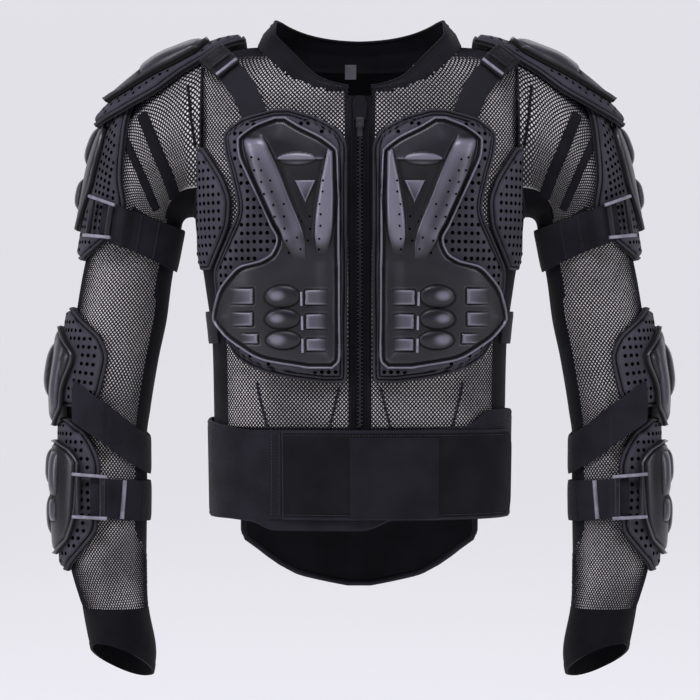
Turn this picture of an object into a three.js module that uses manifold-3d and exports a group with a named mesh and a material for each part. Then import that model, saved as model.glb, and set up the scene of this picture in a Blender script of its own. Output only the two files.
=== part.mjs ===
// Motorcycle armor jacket: a net jacket with foam and hard guards, a belt and a back pad.
// Millimetres, +Z up, the chest faces -Y, the wearer's left is +X.
// The origin is the middle of the line on which the jacket hangs over the shoulders.

import * as THREE from 'three';
import { mergeVertices } from 'three/addons/utils/BufferGeometryUtils.js';
import Module from 'manifold-3d';

const wasm = await Module();
wasm.setup();

// Body
const CHEST_HALF = 188;
const FRONT_DEPTH = 124;
const BACK_DEPTH = 118;
const BODY_DROP = 505;
const NET_WALL = 1.6;
const FRONT_SLOT = 26;

// Neck opening and collar
const NECK_HALF = 116;
const NECK_FRONT = 108;
const NECK_BACK = 76;
const NECK_SQUARE = 2.8;
const COLLAR_HEIGHT = 30;
const COLLAR_WALL = 3;
const COLLAR_TUCK = 5;
const COLLAR_SPLIT_DEG = 7;

// Sleeves and cuffs
const ARM_SPREAD = 142;
const ARM_DROP = 612;
const SLEEVE_DEPTH = 140;
const CUFF_LENGTH = 42;
const CUFF_SLANT = 36;
const CUFF_WALL = 2.4;

// Clearances: pads over the net, straps over the net, plates over pads, and sewn edges
const GAP = 3;
const STRAP_GAP = 2.4;
const STACK = 2.2;
const SEAM = 0.4;

// Foam and hard guards
const FOAM = 9;
const PLATE = 3.2;
const WEBBING = 1.6;
const ELASTIC = 2;
const OVER_PAD = GAP + FOAM + STACK;
const OVER_STRAP = OVER_PAD + ELASTIC + SEAM * 2;

const CHEST_PAD_TOP = 65;
const CHEST_PAD_HEIGHT = 296;
const CHEST_PAD_WIDTH = 160;
const CHEST_PLATE_HEIGHT = 269;
const CHEST_PLATE_WIDTH = 148;
const RIB_PAD_TOP = 102;
const RIB_PAD_HEIGHT = 134;
const RIB_PAD_GAP = 8;
const RIB_PAD_WIDTH = 36;
const RIB_PAD_STAND = 1.2;
const DOME_WIDTH = 37;
const DOME_HEIGHT = 20;
const DOME_RISE = 5;
const RAIL_SINK = 1.6;
const RAIL_WIDTH = 20;
const RAIL_RISE = 5;

const SLEEVE_START = -0.02;
const SLEEVE_SPARE = 0.03;
const SLEEVE_END = 1 + SLEEVE_SPARE;
const ARM_GUARD_START = 0.1;
const ARM_GUARD_END = 0.378;
const ELBOW_GUARD_START = 0.468;
const ELBOW_GUARD_END = 0.645;
const FOREARM_GUARD_START = 0.668;
const FOREARM_GUARD_END = 0.935;
const LOOP_RISE = 4.5;
const LOOP_BAR = 5;
const LOOP_SPARE = 8;
const FIN_RISE = 8;
const STRAP_RAMP_DEG = 11;

const SHOULDER_FLARE = 17;
const CAP_THICK = 6.4;
const SHOULDER_STRAP_WIDTH = 28;
const BUCKLE_LENGTH = 42;
const BUCKLE_WIDTH = 33;
const BUCKLE_THICK = 9;
const BUCKLE_LIFT = 0.2;
const BUCKLE_AT = 0.42;
const BEVEL = 1;
const SIDE_STRAP_WIDTH = 36;
const SIDE_STRAP_DROP = 300;
const ARM_STRAP_WIDTH = 45;
const ARM_STRAP_AT = 0.315;
const ARM_STRAP_SLANT = 0.05;
const ARM_LOOP_AT = 0.302;
const ARM_LOOP_ANGLE = 58;
const ELBOW_STRAP_WIDTH = 44;
const ELBOW_STRAP_AT = 0.668;
const ELBOW_STRAP_SLANT = 0.12;
const ELBOW_STRAP_ANGLE = 55;
const FOREARM_STRAP_WIDTH = 44;
const FOREARM_STRAP_AT = 0.808;
const FOREARM_LOOP_ANGLE = 77;
const LOOP_WIDTH = 25;

// Belt, back pad, zip
const BELT_TOP = 398;
const BELT_WIDTH = 113;
const BELT_WALL = 4;
const FLAP_WALL = 5;
const FLAP_LEFT = 158;
const FLAP_RIGHT = 82;
const FLAP_HEIGHT = 97;
const FLAP_INSET = 15;
const FLAP_CORNER = 24;
const STRIP_WIDTH = 14;
const PATCH_LEFT = 82;
const PATCH_RIGHT = 11;
const PATCH_HEIGHT = 88;
const PATCH_INSET = 8;
const PATCH_WALL = 1;
const BACK_PAD_TOP = 40;
const BACK_PAD_WALL = 10;
const BACK_PAD_HALF = 132;
const TONGUE_DROP = 598;
const ZIP_TEETH_WIDTH = 6;
const ZIP_TEETH_RISE = 2.4;
const GARAGE_HEIGHT = 27;
const GARAGE_WIDTH = 17;
const GARAGE_WALL = 2;
const TAB_WIDTH = 13;
const TAB_HEIGHT = 20;
const TAB_WALL = 1.2;
const TAB_OFF_CENTRE = 10;

const FABRIC_BLACK = 0x15151b;
const NET_BLACK = 0x1b1b22;
const FOAM_GREY = 0x2c2c33;
const PLASTIC = 0x2b2b33;
const WEB_BLACK = 0x1a1a20;

// A table is a list of rows under named columns. The first column is the station.
function table(names, rows) {
  const columns = { rows: rows.length };
  names.split(' ').forEach((name, index) => {
    columns[name] = rows.map((row) => row[index]);
  });
  columns.stations = rows.map((row) => row[0]);
  return columns;
}

// Reads a column at any station, on a smooth curve that never overshoots its rows.
function read(columns, name, station) {
  const xs = columns.stations;
  const ys = columns[name];
  const last = xs.length - 1;
  const t = Math.min(Math.max(station, xs[0]), xs[last]);
  let i = 0;
  while (i < last - 1 && xs[i + 1] < t) {
    i += 1;
  }
  const slope = (k) => (ys[k + 1] - ys[k]) / (xs[k + 1] - xs[k]);
  const tangent = (k) => {
    if (k === 0 || k === last) {
      return slope(Math.min(k, last - 1));
    }
    const product = slope(k - 1) * slope(k);
    return product <= 0 ? 0 : (2 * product) / (slope(k - 1) + slope(k));
  };
  const width = xs[i + 1] - xs[i];
  const u = (t - xs[i]) / width;
  const rise = u * u * (3 - 2 * u);
  const bend = width * u * (1 - u) * ((1 - u) * tangent(i) - u * tangent(i + 1));
  return ys[i] + (ys[i + 1] - ys[i]) * rise + bend;
}

// Body sections: depth below the shoulders, then shares of the chest's half width and depths.
const BODY = table('down half front back square', [
  [-0.046, 0.05, 0.06, 0.06, 2.0],
  [-0.04, 0.4, 0.22, 0.26, 2.1],
  [-0.028, 0.7, 0.35, 0.42, 2.3],
  [-0.012, 0.885, 0.5, 0.55, 2.5],
  [0.01, 0.985, 0.64, 0.68, 2.7],
  [0.05, 1.0, 0.79, 0.82, 2.8],
  [0.12, 1.0, 0.92, 0.94, 2.8],
  [0.24, 1.0, 1.0, 1.0, 2.7],
  [0.366, 0.985, 1.02, 1.0, 2.6],
  [0.495, 0.93, 0.985, 0.955, 2.5],
  [0.634, 0.885, 0.94, 0.915, 2.4],
  [0.8, 0.875, 0.9, 0.9, 2.4],
  [1.0, 0.865, 0.9, 0.9, 2.4],
]);

// Sleeve sections on one side: the inner and outer edge of each, and its depth.
// The rows above the armhole carry the surface on over the shoulder, under the shoulder pad.
const ARM = table('at inner_out inner_down outer_out outer_down depth forward', [
  [-0.15, -0.5, 0.2, -0.5, -0.034, 1.36, 0],
  [-0.09, -0.28, 0.24, -0.28, -0.027, 1.3, 0],
  [-0.02, -0.05, 0.288, -0.05, -0.008, 1.04, 0],
  [0.0, 0.014, 0.288, 0.07, 0.005, 1.0, 0],
  [0.04, 0.042, 0.289, 0.24, 0.028, 1.0, 0],
  [0.09, 0.063, 0.292, 0.437, 0.069, 0.98, 0],
  [0.15, 0.077, 0.296, 0.592, 0.121, 0.95, 0.01],
  [0.21, 0.085, 0.301, 0.704, 0.183, 0.9, 0.02],
  [0.28, 0.092, 0.31, 0.775, 0.261, 0.85, 0.03],
  [0.35, 0.12, 0.343, 0.831, 0.34, 0.8, 0.03],
  [0.42, 0.169, 0.408, 0.888, 0.408, 0.77, 0.02],
  [0.48, 0.204, 0.474, 0.926, 0.466, 0.745, 0.0],
  [0.55, 0.268, 0.547, 0.965, 0.539, 0.72, -0.02],
  [0.62, 0.331, 0.637, 1.0, 0.608, 0.7, -0.03],
  [0.7, 0.359, 0.694, 0.986, 0.686, 0.66, -0.06],
  [0.8, 0.352, 0.801, 0.993, 0.784, 0.62, -0.12],
  [0.92, 0.352, 0.915, 0.958, 0.915, 0.57, -0.2],
  [0.985, 0.345, 0.98, 0.873, 0.987, 0.52, -0.23],
  [1.0, 0.338, 1.0, 0.852, 1.0, 0.51, -0.24],
  [1.06, 0.325, 1.06, 0.82, 1.06, 0.5, -0.26],
]);

// Chest pad and plate outlines: near and far edges as shares of the piece's width from the middle.
const CHEST_PAD = table('down near far', [
  [0.0, 0.47, 0.58],
  [0.034, 0.28, 0.8],
  [0.095, 0.115, 0.91],
  [0.147, 0.084, 0.9],
  [0.257, 0.084, 0.85],
  [0.36, 0.084, 0.816],
  [0.458, 0.084, 0.879],
  [0.53, 0.084, 0.935],
  [0.586, 0.084, 0.966],
  [0.686, 0.084, 0.95],
  [0.787, 0.084, 0.909],
  [0.887, 0.084, 0.844],
  [0.943, 0.084, 0.72],
  [0.982, 0.086, 0.48],
  [1.0, 0.11, 0.24],
]);
const CHEST_PLATE_DROP = 0.037;
const CHEST_PLATE = table('down near far', [
  [0.0, 0.53, 0.6],
  [0.032, 0.44, 0.746],
  [0.088, 0.25, 0.855],
  [0.137, 0.157, 0.848],
  [0.225, 0.149, 0.79],
  [0.326, 0.142, 0.709],
  [0.426, 0.142, 0.63],
  [0.478, 0.142, 0.586],
  [0.526, 0.141, 0.615],
  [0.552, 0.14, 0.68],
  [0.574, 0.139, 0.82],
  [0.6, 0.138, 0.875],
  [0.69, 0.136, 0.972],
  [0.783, 0.135, 1.0],
  [0.86, 0.134, 0.928],
  [0.935, 0.134, 0.775],
  [0.968, 0.14, 0.665],
  [1.0, 0.19, 0.36],
]);
const DOMES = table('down across', [
  [0.71, 0.56],
  [0.8, 0.56],
  [0.885, 0.552],
]);
const RAILS = table('down across width', [
  [0.11, 0.74, 0.9],
  [0.22, 0.67, 1.0],
  [0.33, 0.585, 1.0],
  [0.44, 0.5, 0.9],
  [0.52, 0.455, 0.5],
]);
const INNER_RAILS = table('down across width', [
  [0.15, 0.205, 0.5],
  [0.26, 0.225, 0.7],
  [0.37, 0.245, 0.7],
  [0.46, 0.265, 0.6],
  [0.52, 0.28, 0.4],
]);
const RIB_PAD = table('down leaf', [
  [0.0, 0.16],
  [0.15, 0.52],
  [0.31, 0.84],
  [0.47, 1.0],
  [0.62, 0.96],
  [0.81, 0.72],
  [1.0, 0.3],
]);
const BACK_PAD = table('down half', [
  [0.0, 0.42],
  [0.03, 0.62],
  [0.1, 0.86],
  [0.22, 0.9],
  [0.36, 0.86],
  [0.5, 0.82],
  [0.64, 0.84],
  [0.78, 0.94],
  [0.85, 1.0],
  [0.89, 1.0],
  [0.925, 0.85],
  [0.955, 0.69],
  [0.976, 0.53],
  [0.992, 0.27],
  [1.0, 0.1],
]);

// Guards on the arm: the angle of the front and the back edge at each share of the guard.
// The angle runs round the sleeve from its outer edge, positive to the front.
const ARM_PAD = table('down front back', [
  [0.0, 30, -46],
  [0.2, 55, -66],
  [0.4, 68, -80],
  [0.64, 79, -86],
  [0.8, 69, -78],
  [0.9, 55, -62],
  [1.0, 26, -34],
]);
const ARM_PLATE = table('down front back', [
  [0.19, 20, -36],
  [0.26, 30, -50],
  [0.38, 36, -56],
  [0.52, 35, -55],
  [0.68, 25, -46],
  [0.82, 11, -28],
]);
const ELBOW_PAD = table('down front back', [
  [0.0, 20, -34],
  [0.12, 46, -60],
  [0.3, 76, -84],
  [0.5, 87, -92],
  [0.8, 84, -90],
  [1.0, 62, -70],
]);
const ELBOW_PLATE = table('down front back', [
  [0.2, 13, -30],
  [0.32, 32, -52],
  [0.5, 51, -66],
  [0.8, 42, -60],
  [1.0, 39, -54],
  [1.22, 18, -34],
]);
const FOREARM_PAD = table('down front back', [
  [0.0, 36, -48],
  [0.1, 68, -74],
  [0.34, 86, -90],
  [0.72, 82, -86],
  [0.87, 60, -66],
  [1.0, 24, -32],
]);
const FOREARM_PLATE = table('down front back', [
  [0.16, 28, -34],
  [0.22, 52, -54],
  [0.32, 64, -66],
  [0.6, 61, -62],
  [0.8, 48, -52],
  [0.9, 18, -26],
]);
const SHOULDER_PAD = table('down front back lift', [
  [0.0, 20, -30, 0],
  [0.12, 25, -40, 0],
  [0.4, 36, -50, 0],
  [0.6, 44, -50, 0.15],
  [0.8, 38, -44, 0.55],
  [0.94, 27, -32, 0.92],
  [1.0, 16, -20, 1.05],
]);
const SHOULDER_PLATE = table('down front back', [
  [0.26, 14, -26],
  [0.34, 27, -38],
  [0.52, 31, -43],
  [0.72, 28, -38],
  [0.86, 16, -24],
]);
const SHOULDER_START = -0.13;
const SHOULDER_END = 0.165;

// Fins on the arm plates: reach along the guard, angle of the middle, half width, share of the rise.
const ARM_FINS = table('from to angle half rise', [
  [0.24, 0.42, -6, 9, 1.0],
  [0.54, 0.68, -6, 7, 1.0],
]);
const ELBOW_FINS = table('from to angle half rise', [
  [0.42, 0.86, -6, 10, 1.25],
]);
const FOREARM_FINS = table('from to angle half rise', [
  [0.24, 0.46, -8, 8, 1.0],
  [0.26, 0.5, 22, 7, 0.62],
  [0.56, 0.76, -8, 8, 0.75],
]);

// Collar rim: how far out, forward and up its top edge stands, from the front round to the back.
const COLLAR = table('turn out forward rise', [
  [0, 0.0, 0.93, 0.1],
  [25, 0.39, 0.84, 0.12],
  [45, 0.64, 0.66, 0.45],
  [65, 0.83, 0.4, 0.8],
  [85, 0.83, 0.06, 0.95],
  [105, 0.76, -0.2, 1.0],
  [130, 0.59, -0.46, 0.8],
  [155, 0.32, -0.58, 0.56],
  [180, 0.0, -0.61, 0.48],
]);

// Belt edges round the waist, from the front to the wearer's left, back and right.
const BELT = table('turn top bottom', [
  [-180, 0.0, 1.0],
  [-100, 0.03, 1.0],
  [-60, 0.09, 1.0],
  [-42, 0.13, 1.02],
  [-30, 0.13, 1.1],
  [0, 0.13, 1.1],
  [10, 0.13, 1.0],
  [40, 0.1, 1.0],
  [55, -0.06, 1.0],
  [100, -0.06, 1.0],
  [180, 0.0, 1.0],
]);

const RAD = Math.PI / 180;

function signedPower(value, exponent) {
  return Math.sign(value) * Math.pow(Math.abs(value), exponent);
}

function mix(a, b, t) {
  return a + (b - a) * t;
}

function bodySection(z) {
  const down = -z / BODY_DROP;
  return {
    half: CHEST_HALF * read(BODY, 'half', down),
    front: FRONT_DEPTH * read(BODY, 'front', down),
    back: BACK_DEPTH * read(BODY, 'back', down),
    square: read(BODY, 'square', down),
  };
}

// One on the body's surface, less inside, more outside.
function bodyLevel(x, y, z) {
  const section = bodySection(z);
  const depth = y < 0 ? section.front : section.back;
  const side = Math.pow(Math.abs(x) / section.half, section.square);
  return side + Math.pow(Math.abs(y) / depth, section.square);
}

function bodySlope(p) {
  const step = 0.5;
  return new THREE.Vector3(
    bodyLevel(p.x + step, p.y, p.z) - bodyLevel(p.x - step, p.y, p.z),
    bodyLevel(p.x, p.y + step, p.z) - bodyLevel(p.x, p.y - step, p.z),
    bodyLevel(p.x, p.y, p.z + step) - bodyLevel(p.x, p.y, p.z - step),
  ).divideScalar(2 * step);
}

// A point on the body: turn is in degrees from the front middle, positive to the wearer's left.
function onBody(turn, z, out = 0) {
  const section = bodySection(z);
  const cosine = Math.cos(turn * RAD);
  const depth = cosine > 0 ? section.front : section.back;
  const point = new THREE.Vector3(
    section.half * signedPower(Math.sin(turn * RAD), 2 / section.square),
    -depth * signedPower(cosine, 2 / section.square),
    z,
  );
  return point.addScaledVector(bodySlope(point).normalize(), out);
}

// The turn at which the front or the back of the body stands at x.
function turnAt(x, z, back = false) {
  const section = bodySection(z);
  const share = Math.min(Math.abs(x) / section.half, 1);
  const turn = Math.asin(Math.pow(share, section.square / 2)) / RAD;
  return Math.sign(x) * (back ? 180 - turn : turn);
}

// Moves a point along the body's slope until it stands out millimetres off the surface.
function seatOnBody(p, out) {
  const point = p.clone();
  for (let pass = 0; pass < 6; pass += 1) {
    const slope = bodySlope(point);
    const level = bodyLevel(point.x, point.y, point.z);
    point.addScaledVector(slope, -(level - 1) / slope.lengthSq());
  }
  return point.addScaledVector(bodySlope(point).normalize(), out);
}

function armFrame(at) {
  const edge = (side) => new THREE.Vector3(
    CHEST_HALF + ARM_SPREAD * read(ARM, `${side}_out`, at),
    0,
    -ARM_DROP * read(ARM, `${side}_down`, at),
  );
  const inner = edge('inner');
  const outer = edge('outer');
  const centre = inner.clone().add(outer).multiplyScalar(0.5);
  centre.y = SLEEVE_DEPTH * read(ARM, 'forward', at);
  return {
    centre,
    across: outer.clone().sub(inner).multiplyScalar(0.5),
    depth: (SLEEVE_DEPTH / 2) * read(ARM, 'depth', at),
  };
}

function armPoint(at, angle) {
  const frame = armFrame(at);
  const point = frame.centre.clone().addScaledVector(frame.across, Math.cos(angle * RAD));
  point.y -= frame.depth * Math.sin(angle * RAD);
  return point;
}

// A point on the sleeve at wearer's left: angle from the outer edge, positive to the front.
function onArm(at, angle, out = 0) {
  const point = armPoint(at, angle);
  if (out === 0) {
    return point;
  }
  const along = armPoint(at + 0.004, angle).sub(armPoint(at - 0.004, angle));
  const round = armPoint(at, angle + 1).sub(armPoint(at, angle - 1));
  const normal = along.cross(round).normalize();
  if (normal.dot(point.clone().sub(armFrame(at).centre)) < 0) {
    normal.negate();
  }
  return point.addScaledVector(normal, out);
}

// Millimetres of sleeve for one unit of its station.
function armScale(at, angle = 0) {
  const step = 0.01;
  return armPoint(at + step, angle).distanceTo(armPoint(at - step, angle)) / (2 * step);
}

// Joins a list of equal cross sections into one closed mesh that faces outwards.
function loft(sections, closed = false) {
  const size = sections[0].length;
  const points = sections.flat();
  const faces = [];
  const quad = (a, b, c, d) => {
    faces.push([a, b, c], [a, c, d]);
  };
  const spans = closed ? sections.length : sections.length - 1;
  for (let i = 0; i < spans; i += 1) {
    const next = (i + 1) % sections.length;
    for (let j = 0; j < size; j += 1) {
      const side = (j + 1) % size;
      quad(i * size + j, i * size + side, next * size + side, next * size + j);
    }
  }
  if (!closed) {
    const end = (sections.length - 1) * size;
    for (let k = 0; k < size / 2 - 1; k += 1) {
      quad(k, size - 1 - k, size - 2 - k, k + 1);
      quad(end + k, end + k + 1, end + size - 2 - k, end + size - 1 - k);
    }
  }
  const volume = faces.reduce((sum, [a, b, c]) => (
    sum + points[a].dot(points[b].clone().cross(points[c]))
  ), 0);
  const geometry = new THREE.BufferGeometry();
  geometry.setFromPoints(points);
  geometry.setIndex(faces.flatMap(([a, b, c]) => (volume > 0 ? [a, b, c] : [a, c, b])));
  return geometry;
}

function steps(count, from = 0, to = 1) {
  return Array.from({ length: count + 1 }, (_, index) => mix(from, to, index / count));
}

// Stations that crowd towards both ends, where an edge turns down.
function easedSteps(count, from = 0, to = 1) {
  return steps(count).map((t) => mix(from, to, 0.5 - 0.5 * Math.cos(Math.PI * t)));
}

// Shares across a pad: close together at both rims, even between them.
function padColumns(count, rim = 0.05) {
  return [0, ...steps(count, rim, 1 - rim), 1];
}

// A sheet with a thickness: place(v, u, out) stands on a surface, heights are off that surface.
function sheet(place, rows, columns, low, high) {
  return loft(rows.map((v) => [
    ...columns.map((u) => place(v, u, high(v, u))),
    ...columns.slice().reverse().map((u) => place(v, u, low(v, u))),
  ]));
}

// The share of its full height that a padded edge keeps, this far across the pad.
function roll(t, width, edge) {
  const inside = Math.min(Math.min(t, 1 - t) / width, 1);
  return mix(edge, 1, Math.sqrt(1 - (1 - inside) ** 2));
}

function pad(place, { rows, columns, from, to, base, thick, edge = 0.4, band = 0.12 }) {
  const share = (v) => (v - from) / (to - from);
  return sheet(
    place,
    easedSteps(rows, from, to),
    columns,
    () => base,
    (v, u) => base + thick * Math.min(roll(share(v), band, edge), roll(u, band, edge)),
  );
}

function toSolid(geometry) {
  const bare = geometry.clone();
  bare.deleteAttribute('normal');
  bare.deleteAttribute('uv');
  const merged = mergeVertices(bare, 1e-4);
  return new wasm.Manifold(new wasm.Mesh({
    numProp: 3,
    vertProperties: new Float32Array(merged.attributes.position.array),
    triVerts: new Uint32Array(merged.index.array),
  }));
}

function toGeometry(solid) {
  const mesh = solid.getMesh();
  const geometry = new THREE.BufferGeometry();
  geometry.setAttribute('position', new THREE.BufferAttribute(new Float32Array(mesh.vertProperties), 3));
  geometry.setIndex(new THREE.BufferAttribute(new Uint32Array(mesh.triVerts), 1));
  return geometry;
}

function joined(geometry, extras) {
  return toGeometry(extras.reduce((solid, extra) => solid.add(toSolid(extra)), toSolid(geometry)));
}

function cut(geometry, tools) {
  return toGeometry(tools.reduce((solid, tool) => solid.subtract(toSolid(tool)), toSolid(geometry)));
}

function mirrored(geometry) {
  const copy = geometry.clone();
  copy.scale(-1, 1, 1);
  const index = Array.from(copy.index.array);
  for (let i = 0; i < index.length; i += 3) {
    [index[i], index[i + 1]] = [index[i + 1], index[i]];
  }
  copy.setIndex(index);
  return copy;
}

const jacket = new THREE.Group();

function addPiece(name, geometry, color, roughness = 0.8) {
  const material = new THREE.MeshStandardMaterial({ color, roughness, metalness: 0 });
  const mesh = new THREE.Mesh(geometry, material);
  mesh.name = name;
  jacket.add(mesh);
}

function addPair(name, geometry, color, roughness) {
  addPiece(`${name}_left`, geometry, color, roughness);
  addPiece(`${name}_right`, mirrored(geometry), color, roughness);
}

// The body as a filled form, grown or shrunk by out, with a ring at each row of its table.
const BODY_TURNS = steps(22, 0, 360).slice(0, -1);

function bodyForm(out) {
  const rows = BODY.stations.slice(2);
  return tubeForm(rows.map((down) => BODY_TURNS.map((turn) => onBody(turn, -down * BODY_DROP, out))));
}

// Closes a stack of rings with a fan at each end.
function tubeForm(rings) {
  const size = rings[0].length;
  const points = rings.flat();
  const last = rings.length - 1;
  const middle = (ring) => ring.reduce((sum, p) => sum.add(p), new THREE.Vector3()).divideScalar(size);
  points.push(middle(rings[0]), middle(rings[last]));
  const index = [];
  for (let j = 0; j < size; j += 1) {
    const next = (j + 1) % size;
    for (let i = 0; i < last; i += 1) {
      const a = i * size + j;
      const b = i * size + next;
      index.push(a, a + size, b, b, a + size, b + size);
    }
    index.push(points.length - 2, j, next);
    index.push(points.length - 1, last * size + next, last * size + j);
  }
  const geometry = new THREE.BufferGeometry();
  geometry.setFromPoints(points);
  geometry.setIndex(index);
  return facingOut(geometry);
}

function facingOut(geometry) {
  const position = geometry.attributes.position;
  const corner = (i) => new THREE.Vector3().fromBufferAttribute(position, geometry.index.getX(i));
  let volume = 0;
  for (let i = 0; i < geometry.index.count; i += 3) {
    volume += corner(i).dot(corner(i + 1).cross(corner(i + 2)));
  }
  if (volume < 0) {
    const index = Array.from(geometry.index.array);
    for (let i = 0; i < index.length; i += 3) {
      [index[i], index[i + 1]] = [index[i + 1], index[i]];
    }
    geometry.setIndex(index);
  }
  return geometry;
}

const SLEEVE_SIDES = 12;

function armForm(out, from, to) {
  const angles = steps(SLEEVE_SIDES, 0, 360).slice(0, -1);
  const stations = steps(9, from, to);
  return tubeForm(stations.map((at) => angles.map((angle) => onArm(at, angle, out))));
}

// The sleeve's form carried straight on into the body, to cut the armhole with.
function armholeForm() {
  const angles = steps(SLEEVE_SIDES, 0, 360).slice(0, -1);
  const rings = steps(3, SLEEVE_START, ARM_GUARD_START).map(
    (at) => angles.map((angle) => onArm(at, angle, SEAM)),
  );
  const inside = rings[0].map((point) => point.clone().setX(CHEST_HALF - SLEEVE_DEPTH / 2));
  return tubeForm([inside, ...rings]);
}

function boxBetween(low, high) {
  const size = [0, 1, 2].map((axis) => high[axis] - low[axis]);
  const box = new THREE.BoxGeometry(...size);
  box.translate(...[0, 1, 2].map((axis) => (high[axis] + low[axis]) / 2));
  return box;
}

function neckRing(turn, spare) {
  const cosine = Math.cos(turn * RAD);
  const depth = cosine > 0 ? NECK_FRONT : NECK_BACK;
  return new THREE.Vector3(
    (NECK_HALF + spare) * signedPower(Math.sin(turn * RAD), 2 / NECK_SQUARE),
    -(depth + spare) * signedPower(cosine, 2 / NECK_SQUARE),
    0,
  );
}

// Height of the body's skin over a point of the neck ring.
function skinHeight(x, y) {
  let low = -BODY_DROP / 4;
  let high = BODY_DROP * 0.045;
  for (let pass = 0; pass < 30; pass += 1) {
    const z = (low + high) / 2;
    if (bodyLevel(x, y, z) > 1) {
      high = z;
    } else {
      low = z;
    }
  }
  return (low + high) / 2;
}

function neckPlug() {
  const turns = steps(28, 0, 360).slice(0, -1);
  const at = (z) => turns.map((turn) => neckRing(turn, 0).setZ(z));
  return tubeForm([at(-FRONT_DEPTH), at(FRONT_DEPTH)]);
}

const REACH = CHEST_HALF * 2;

function bodyNet() {
  const hollow = bodyForm(-NET_WALL);
  const openHem = boxBetween(
    [-REACH, -REACH, -BODY_DROP - NET_WALL],
    [REACH, REACH, -BODY_DROP + NET_WALL],
  );
  const slot = boxBetween(
    [-FRONT_SLOT / 2, -REACH, -BODY_DROP - NET_WALL],
    [FRONT_SLOT / 2, 0, BODY_DROP],
  );
  const armhole = armholeForm();
  return cut(bodyForm(0), [hollow, openHem, slot, neckPlug(), armhole, mirrored(armhole)]);
}

function sleeveNet() {
  const ends = boxBetween(
    [0, -REACH, -ARM_DROP * 1.05],
    [REACH * 2, REACH, -ARM_DROP],
  );
  const hollow = armForm(-NET_WALL, SLEEVE_START - SLEEVE_SPARE / 3, SLEEVE_END + SLEEVE_SPARE / 3);
  return cut(armForm(0, SLEEVE_START, SLEEVE_END), [hollow, bodyForm(SEAM), ends]);
}

function collar() {
  const turns = [COLLAR_SPLIT_DEG, ...steps(13, 20, 340), 360 - COLLAR_SPLIT_DEG];
  const sections = turns.map((turn) => {
    const side = turn > 180 ? -1 : 1;
    const key = turn > 180 ? 360 - turn : turn;
    const foot = neckRing(turn, -SEAM * 3);
    foot.z = skinHeight(foot.x, foot.y);
    const rim = new THREE.Vector3(
      side * (NECK_HALF + SEAM) * read(COLLAR, 'out', key),
      -NECK_FRONT * read(COLLAR, 'forward', key),
      foot.z + COLLAR_HEIGHT * read(COLLAR, 'rise', key),
    );
    const inward = new THREE.Vector3(-foot.x, -foot.y, 0).normalize();
    const tuck = foot.clone().setZ(foot.z - COLLAR_TUCK);
    const swell = foot.clone().lerp(rim, 0.5).addScaledVector(inward, -COLLAR_WALL);
    const outside = [tuck, foot.clone().setZ(foot.z + SEAM), swell, rim];
    const inside = outside.map((p) => p.clone().addScaledVector(inward, COLLAR_WALL));
    return [...outside, ...inside.reverse()];
  });
  return loft(sections);
}

// A strip down the middle of the front, half to each side, between two heights off the skin.
function frontStrip(half, top, bottom, low, high, rows) {
  const place = (z, x, out) => {
    const point = onBody(turnAt(x, z), z, out);
    return new THREE.Vector3(x, point.y, point.z);
  };
  return sheet(place, steps(rows, -top, -bottom), [-half, half], () => low, () => high);
}

function chestPlace(outline, top, height, width) {
  return (v, u, out) => {
    const z = -top - v * height;
    const near = turnAt(width * read(outline, 'near', v), z);
    const far = turnAt(width * read(outline, 'far', v), z);
    return onBody(mix(near, far, u), z, out);
  };
}

const chestPadPlace = chestPlace(CHEST_PAD, CHEST_PAD_TOP, CHEST_PAD_HEIGHT, CHEST_PAD_WIDTH);
const PLATE_TOP = CHEST_PAD_TOP + CHEST_PAD_HEIGHT * CHEST_PLATE_DROP;
const chestPlatePlace = chestPlace(CHEST_PLATE, PLATE_TOP, CHEST_PLATE_HEIGHT, CHEST_PLATE_WIDTH);

// A point on the chest plate by its own shares, across being a share of the plate's width.
function onPlate(down, across, out) {
  const z = -PLATE_TOP - down * CHEST_PLATE_HEIGHT;
  return onBody(turnAt(across * CHEST_PLATE_WIDTH, z), z, out);
}

// Turns a shape made round the origin, +Z out, to stand at a point of the chest plate.
function standOnPlate(geometry, down, across, out) {
  const at = onPlate(down, across, out);
  const normal = onPlate(down, across, out + 1).sub(at).normalize();
  const side = onPlate(down, across + 0.02, out).sub(at).normalize();
  const up = normal.clone().cross(side).normalize();
  side.crossVectors(up, normal);
  geometry.applyMatrix4(new THREE.Matrix4().makeBasis(side, up, normal).setPosition(at));
  return geometry;
}

function chestPlate() {
  const plate = pad(chestPlatePlace, {
    rows: 12, columns: padColumns(3), from: 0, to: 1, base: OVER_PAD + SEAM * 2, thick: PLATE, edge: 0.7, band: 0.05,
  });
  const skin = OVER_PAD + PLATE;
  const domes = steps(DOMES.rows - 1, 0, DOMES.rows - 1).map((row) => {
    const dome = new THREE.CylinderGeometry(0.55, 1, 1, 7);
    dome.rotateX(Math.PI / 2);
    dome.scale(DOME_WIDTH / 2, DOME_HEIGHT / 2, DOME_RISE * 2);
    return standOnPlate(dome, DOMES.down[row], DOMES.across[row], skin);
  });
  const rails = [RAILS, INNER_RAILS].map((rail) => {
    const place = (down, u, out) => {
      const half = (RAIL_WIDTH / 2 / CHEST_PLATE_WIDTH) * read(rail, 'width', down);
      return onPlate(down, read(rail, 'across', down) + half * u, out);
    };
    const ends = [rail.stations[0], rail.stations[rail.rows - 1]];
    const height = (down, u) => skin + RAIL_RISE * (1 - u * u * 0.85) - RAIL_SINK;
    return sheet(place, steps(3, ...ends), [-1, 0, 1], () => skin - PLATE / 2, height);
  });
  return joined(plate, [...domes, ...rails]);
}

const PAD_WAIST = Math.min(...CHEST_PAD.far.slice(3, 8));
const RIB_PAD_EDGE = CHEST_PAD_WIDTH * PAD_WAIST + RIB_PAD_GAP + RIB_PAD_WIDTH;

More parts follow.
